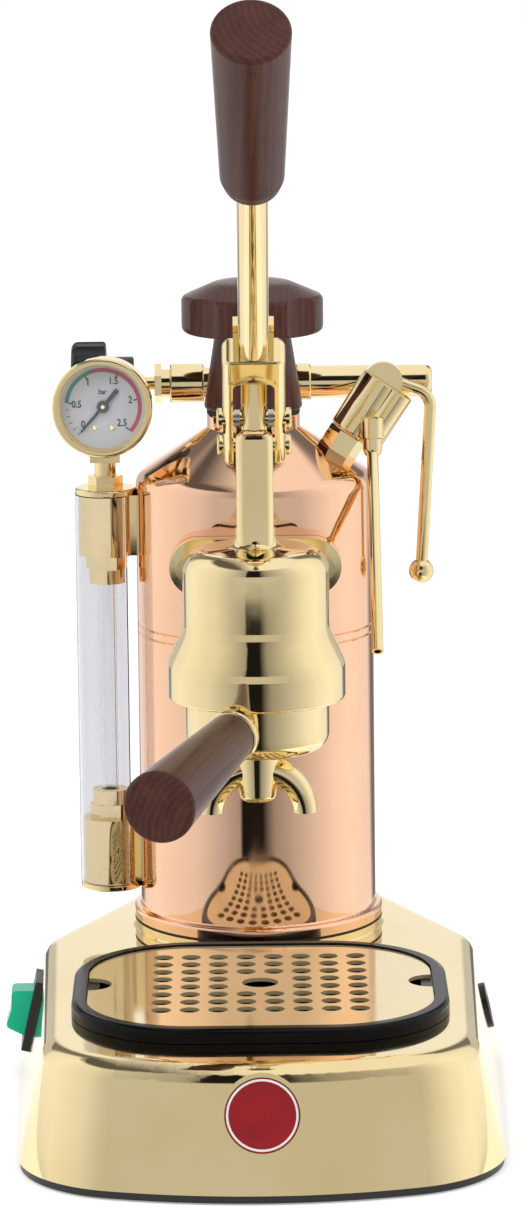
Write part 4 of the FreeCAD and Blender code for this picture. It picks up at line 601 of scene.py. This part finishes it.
half_bars = [step * HALF_BAR for step in range(round(FULL_SCALE / HALF_BAR) + 1)]
fine_steps = [step * FINE_STEP for step in range(round(GREEN_FROM / FINE_STEP))]
long_marks = marks_at(half_bars, inner=0.0133, outer=BAND_IN, width=0.00058)
print_on_dial(long_marks, "dial_marks", ink_black)
fine_marks = marks_at(fine_steps, inner=0.0150, outer=0.0164, width=0.00032)
print_on_dial(fine_marks, "dial_fine_marks", ink_black)

# %% [markdown]
# ## Numbers and the unit
# Plain numbers and the name of the unit are set in Blender's own type. A text object would be
# turned and placed as an object, so it is made a mesh first; its flat faces are then moved to
# the dial and pulled up like the other ink. All the figures join into one piece.

# %% Dial figures
FIGURE_H = 0.0032
UNIT_H = 0.0024
TYPE_SIZE = 1.35            # size of the type for a height of 1
NARROW = 0.82               # the dial's type is narrower than Blender's
BOLDER = 0.028              # and bolder, by this share of its height
FIGURES_AT = {"0": (-0.0088, -0.0078), "0.5": (-0.0114, 0.0008), "1": (-0.0064, 0.0104),
              "1.5": (0.0045, 0.0109), "2": (0.0117, 0.0027), "2.5": (0.0080, -0.0072)}
UNIT_AT = (-0.0002, 0.0063)


def printed(words, at, height):
    """Flat mesh of one printed figure, centred on a point."""
    letters = bpy.data.curves.new("letters", "FONT")
    letters.body = words
    letters.size = height * TYPE_SIZE
    letters.align_x = "CENTER"
    letters.align_y = "CENTER"
    letters.resolution_u = 3
    letters.offset = height * BOLDER
    stand = bpy.data.objects.new("letters", letters)
    scene.collection.objects.link(stand)
    mesh = bpy.data.meshes.new_from_object(stand.evaluated_get(bpy.context.evaluated_depsgraph_get()))
    mesh.transform(Matrix.Translation((*at, 0)) @ Matrix.Diagonal((NARROW, 1.0, 1.0, 1.0)))
    bpy.data.objects.remove(stand)
    return mesh


figures = bmesh.new()
for number, at in FIGURES_AT.items():
    figures.from_mesh(printed(number, at, FIGURE_H))
figures.from_mesh(printed("bar", UNIT_AT, UNIT_H))
bmesh.ops.remove_doubles(figures, verts=figures.verts, dist=MERGE)
pull_up(figures, INK)
print_on_dial(figures, "dial_figures", ink_black)

# %% [markdown]
# ## Rivets of the dial and the tip of the spindle
# Two small rivets hold the dial plate below the spindle, and the bright end of the spindle shows
# in the needle's hub. Each is a turned form: half its outline, a few points from the axis to the
# edge, is spun a whole turn about the axis. The spindle's tip rides with the needle.

# %% Rivets and spindle tip
RIVET_LINE = [(0, 0), (0.0012, 0), (0.0012, 0.00018), (0.0010, 0.0004), (0.0006, 0.00055), (0, 0.0006)]
RIVETS_AT = {"dial_rivet_left": (-0.0038, -0.0094, 0), "dial_rivet_right": (0.0037, -0.0094, 0)}
TIP_LINE = [(0, 0), (0.00095, 0), (0.00095, 0.00025), (0.0007, 0.0004), (0, 0.0004)]


def turned(outline, steps=32):
    """A whole turn of an outline given as radius and height."""
    shape = bmesh.new()
    line = [shape.verts.new((radius, 0, height)) for radius, height in outline]
    edges = [shape.edges.new(pair) for pair in zip(line, line[1:])]
    bmesh.ops.spin(shape, geom=line + edges, cent=(0, 0, 0), axis=(0, 0, 1), angle=2 * math.pi,
                   steps=steps, use_merge=True)
    return shape


for name, at in RIVETS_AT.items():
    settle(turned(RIVET_LINE), name, dial_bench @ Matrix.Translation(at), "machine",
           turned_brass, smooth=True)
needle_face = spindle + dial_out * reach("gauge_needle", spindle, dial_out)
tip_bench = bench(needle_face, dial_right, dial_up, dial_out)
settle(turned(TIP_LINE), "needle_spindle_tip", tip_bench, "gauge_needle", turned_brass, smooth=True)

# %% [markdown]
# ## The badge place
# The base carries a round badge in a bezel. Here it is left as plain red enamel with one pale
# ring, the sort of border any enamelled button has. The ring is spun flat, thickened by a
# hair, and laid on the disc, which leans with the front wall of the base. The largest face of
# the disc that looks ahead says how far it leans.

# %% Badge ring
BADGE_RING_IN = 0.0134
BADGE_RING_OUT = 0.0143
BADGE_RING_T = 0.00015
AHEAD = -0.5                # a face that looks ahead has a normal with less than this along Y
ASIDE = 0.05                # and no more than this along X

badge_middle = sum((Vector(corner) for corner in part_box("badge_disc")), Vector()) / 2
ahead_faces = [face for face in frame["nodes"]["badge_disc"].data.polygons
               if face.normal.y < AHEAD and abs(face.normal.x) < ASIDE]
badge_out = max(ahead_faces, key=lambda face: face.area).normal.normalized()
badge_right = Vector((1, 0, 0))
badge_up = badge_out.cross(badge_right).normalized()
badge_at = badge_middle + badge_out * reach("badge_disc", badge_middle, badge_out)
badge_bench = bench(badge_at, badge_right, badge_up, badge_out)
badge_ring = ring_sector(BADGE_RING_IN, BADGE_RING_OUT, 0.0, 2 * math.pi, BADGE_RING_T, steps=96)
settle(badge_ring, "badge_ring", badge_bench, "machine", badge_white)
print("badge faces", [round(v, 3) for v in badge_out])

# %% [markdown]
# ## The thread of the boiler cap
# When the cap comes off, the screw thread on its brass plug shows. A thread is a small closed
# outline turned about the axis while it climbs: the spin operator takes a step of height for
# every step of angle, so one call makes all the turns. It overlaps the plug a little at its root
# and stays clear of the neck, and it rides with the cap.

# %% Cap thread
THREAD_PITCH = 0.002
THREAD_HEIGHT = 0.0014
THREAD_ROOT = 0.0002        # depth of the root inside the plug
THREAD_TURNS = 3
TURN_STEPS = 48
ROOT_HALF = 0.42            # half width of the ridge at its root, in pitches
CREST_HALF = 0.08           # and at its crest
FIRST_TURN = 0.9            # first turn above the plug's end, in pitches
PLUG_FOOT = 0.004           # stretch of the plug on which its radius is measured

plug = frame["nodes"]["cap_plug"].data.vertices
plug_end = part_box("cap_plug")[0][2]
plug_axis = Vector((*joint_at["cap_turn"][:2], 0))
plug_r = max((v.co.xy - plug_axis.xy).length for v in plug if v.co.z < plug_end + PLUG_FOOT)
crest = plug_r + THREAD_HEIGHT
root = plug_r - THREAD_ROOT
ridge = bmesh.new()
corners = [ridge.verts.new((radius, 0, pitches * THREAD_PITCH)) for radius, pitches in
           ((root, -ROOT_HALF), (crest, -CREST_HALF), (crest, CREST_HALF), (root, ROOT_HALF))]
rims = [ridge.edges.new((corners[i - 1], corners[i])) for i in range(len(corners))]
bmesh.ops.spin(ridge, geom=corners + rims, cent=(0, 0, 0), axis=(0, 0, 1),
               dvec=(0, 0, THREAD_PITCH / TURN_STEPS), angle=2 * math.pi * THREAD_TURNS,
               steps=TURN_STEPS * THREAD_TURNS)
bmesh.ops.holes_fill(ridge, edges=[edge for edge in ridge.edges if edge.is_boundary], sides=4)
thread_place = Matrix.Translation(plug_axis + Vector((0, 0, plug_end + FIRST_TURN * THREAD_PITCH)))
settle(ridge, "cap_thread", thread_place, "cap", turned_brass)
print("thread radius", round(crest, 4), "from", round(plug_end, 4))

# %% [markdown]
# ## Studio: who sees the white ground
# The portrait has a white ground with only a soft shadow under the base. More light would make
# the ground white, but it would also wash out the machine. So the ground is white only for rays
# from the camera, from reflections and through glass, and the tool here tells those rays from
# the rays that carry light to matt surfaces.

# %% Studio tools
WHITE = (1.0, 1.0, 1.0, 1.0)


def seen_directly(owner):
    """Output that is 1 for camera, glossy and transmission rays."""
    path = add(owner, "LightPath")
    seen = path.outputs["Is Camera Ray"]
    for ray in ("Is Glossy Ray", "Is Transmission Ray"):
        seen = worked_out(owner, "MAXIMUM", seen, path.outputs[ray])
    return seen


def put_on_stage(shape, name, finish):
    """Make a bmesh a sheet of the studio, which isn't part of the machine."""
    mesh = bpy.data.meshes.new(name)
    shape.to_mesh(mesh)
    shape.free()
    mesh.materials.append(finish)
    sheet = bpy.data.objects.new(name, mesh)
    scene.collection.objects.link(sheet)
    print(name, len(mesh.polygons), "faces")
    return sheet


print("studio tools:", seen_directly.__name__, put_on_stage.__name__)

# %% [markdown]
# ## Studio: floor and surroundings
# The floor is a matt white sheet that takes the shadow; a little light of its own, for the rays
# that see it directly, lifts it to the white of the surroundings. The surroundings are plain
# white for those rays too, and light the matt surfaces a little less.

# %% Floor and surroundings
FLOOR_HALF = 6.0
FLOOR_WHITE = (0.93, 0.93, 0.93)
FLOOR_LIFT = 0.34
SKY_LIGHT = 0.78

floor_finish = new_finish("studio_floor", FLOOR_WHITE, roughness=0.9, Specular_IOR_Level=0.1,
                          Emission_Color=WHITE)
lift = worked_out(floor_finish, "MULTIPLY", seen_directly(floor_finish), FLOOR_LIFT)
join(floor_finish, lift, "Emission Strength")
ground = bmesh.new()
bmesh.ops.create_grid(ground, x_segments=4, y_segments=4, size=FLOOR_HALF)
put_on_stage(ground, "studio_floor", floor_finish)

world = bpy.data.worlds.new("studio")
scene.world = world
world.use_nodes = True
soft = world.node_tree.nodes["Background"]
join(world, WHITE, soft.inputs["Color"])
join(world, SKY_LIGHT, soft.inputs["Strength"])
plain = add(world, "Background", Color=WHITE, Strength=1.0)
sky = either_shader(world, seen_directly(world), soft.outputs["Background"], plain.outputs["Background"])
join(world, sky, world.node_tree.nodes["World Output"].inputs["Surface"])
print("floor", 2 * FLOOR_HALF, "m wide, sky", SKY_LIGHT)

# %% [markdown]
# ## Studio: light round the tent
# A mirror needs something to reflect. In a product studio that is a tent of pale cloth. Here its
# light depends on the heading, in degrees from the front and positive to the right: bright at
# the sides, dimmer towards the front, a dark gap in front that draws the dark line down upright
# brass, and a dark strip on each side behind that draws a thin outline at its edges. A ramp on
# the heading holds these levels. Painted images could do the same, but a few levels are easier
# to change.

# %% Tent light
# Each pair is a heading and the level of light there.
TENT_LEVELS = [(-180, 1.0), (-168, 1.0), (-160, 0.2), (-146, 0.2), (-136, 0.95), (-110, 1.05), (-60, 0.85),
               (-16, 0.4), (-14.5, 0.012), (5, 0.012), (16, 0.35), (45, 0.65), (77, 1.0), (100, 1.1),
               (136, 0.95), (146, 0.2), (160, 0.2), (168, 1.0), (180, 1.0)]

cloth = bpy.data.materials.new("tent_cloth")
cloth.use_nodes = True
cloth.node_tree.nodes.remove(cloth.node_tree.nodes["Principled BSDF"])
tent_place = add(cloth, "TexCoord").outputs["Object"]
split = add(cloth, "SeparateXYZ")
join(cloth, tent_place, split.inputs["Vector"])
ahead = worked_out(cloth, "MULTIPLY", split.outputs["Y"], -1.0)
heading = worked_out(cloth, "ARCTAN2", split.outputs["X"], ahead)
shade = add(cloth, "ValToRGB")
join(cloth, between(cloth, heading, 0.0, 1.0, -math.pi, math.pi), shade.inputs["Fac"])
stops = shade.color_ramp.elements
for angle, level in TENT_LEVELS[1:-1]:
    stops.new((angle + 180) / 360)
for stop, (angle, level) in zip(stops, TENT_LEVELS):
    stop.color = (level, level, level, 1.0)
round_light = shade.outputs["Color"]
print("tent levels", len(stops))

# %% [markdown]
# ## Studio: where the gap is closed, and the roof
# The flat faces high on the group mirror the floor further out and the lower part of the front
# wall, and a dark gap there would turn them black. So the gap is closed with cloth from some way
# out on the floor to about 0.9 m up the wall, and open again above, where only sloping faces
# look. The roof is dark on the left and white on the right, which shades the left of the boiler's
# cone.

# %% Gap and roof
TENT_TOP = 3.2
CLOTH = 0.62
GAP_FAR = 1.26              # the gap is closed from this far from the machine's middle
GAP_AGAIN = 2.95            # and open again from here, about 0.9 m up the wall
GAP_EDGE = 0.03
ROOF_EDGE = 0.1
ROOF_DARK = 0.12
ROOF_LEFT, ROOF_RIGHT = -1.3, -0.15

length = add(cloth, "VectorMath", operation="LENGTH")
join(cloth, tent_place, length.inputs[0])
far = length.outputs["Value"]
beyond = between(cloth, far, 0.0, 1.0, GAP_FAR, GAP_FAR + GAP_EDGE)
above = between(cloth, far, 0.0, 1.0, GAP_AGAIN, GAP_AGAIN + GAP_EDGE)
shut = worked_out(cloth, "SUBTRACT", beyond, above)
closed = mixed(cloth, 1.0, round_light, (CLOTH, CLOTH, CLOTH, 1.0), "LIGHTEN")
walls = mixed(cloth, shut, round_light, closed)
roof = between(cloth, split.outputs["X"], ROOF_DARK, 1.0, ROOF_LEFT, ROOF_RIGHT)
overhead = between(cloth, split.outputs["Z"], 0.0, 1.0, TENT_TOP, TENT_TOP + ROOF_EDGE)
glow = add(cloth, "Emission")
join(cloth, mixed(cloth, overhead, walls, roof), glow.inputs["Color"])
join(cloth, glow.outputs["Emission"], cloth.node_tree.nodes["Material Output"].inputs["Surface"])
print("gap closed from", GAP_FAR, "to", GAP_AGAIN)

# %% [markdown]
# ## Studio: hanging the tent
# The tent is one bent line, out along the floor, up the wall and in along the roof, spun round
# the machine. It is seen only in reflections, so it neither lights nor shades the matt pieces.

# %% Reflected tent
TENT_NEAR = 0.27
TENT_R = 2.8
TENT_LIFT = 0.002           # just above the floor
ROOF_HOLE = 0.02
ROOF_TOP = 3.8
TENT_LINE = ((TENT_NEAR, TENT_LIFT), (TENT_R, TENT_LIFT), (TENT_R, TENT_TOP), (ROOF_HOLE, ROOF_TOP))

tent = put_on_stage(turned(TENT_LINE, steps=96), "studio_tent", cloth)
for ray in ("camera", "diffuse", "transmission", "shadow", "volume_scatter"):
    setattr(tent, "visible_" + ray, False)
print("tent", 2 * TENT_R, "m wide")

# %% [markdown]
# ## Studio: lamps
# Two large soft lamps give the matt pieces a gentle direction, one high on the left and one
# lower on the right. They are kept weak, so a colour still renders about as it is written, and
# they are hidden from reflections, where the tent does the work.

# %% Lamps
LAMP_AIM = Vector((0, 0, 0.25))


def soft_lamp(name, at, size, power):
    """Square area lamp aimed at the middle of the machine."""
    lamp = bpy.data.lights.new(name, "AREA")
    lamp.energy = power
    lamp.size = size
    holder = bpy.data.objects.new(name, lamp)
    holder.location = at
    holder.rotation_euler = (LAMP_AIM - Vector(at)).to_track_quat("-Z", "Y").to_euler()
    holder.visible_glossy = False
    scene.collection.objects.link(holder)
    print(name, power, "W")


soft_lamp("key_lamp", at=(-1.1, -1.3, 1.9), size=1.2, power=14.0)
soft_lamp("fill_lamp", at=(1.5, -1.0, 1.0), size=1.0, power=7.0)
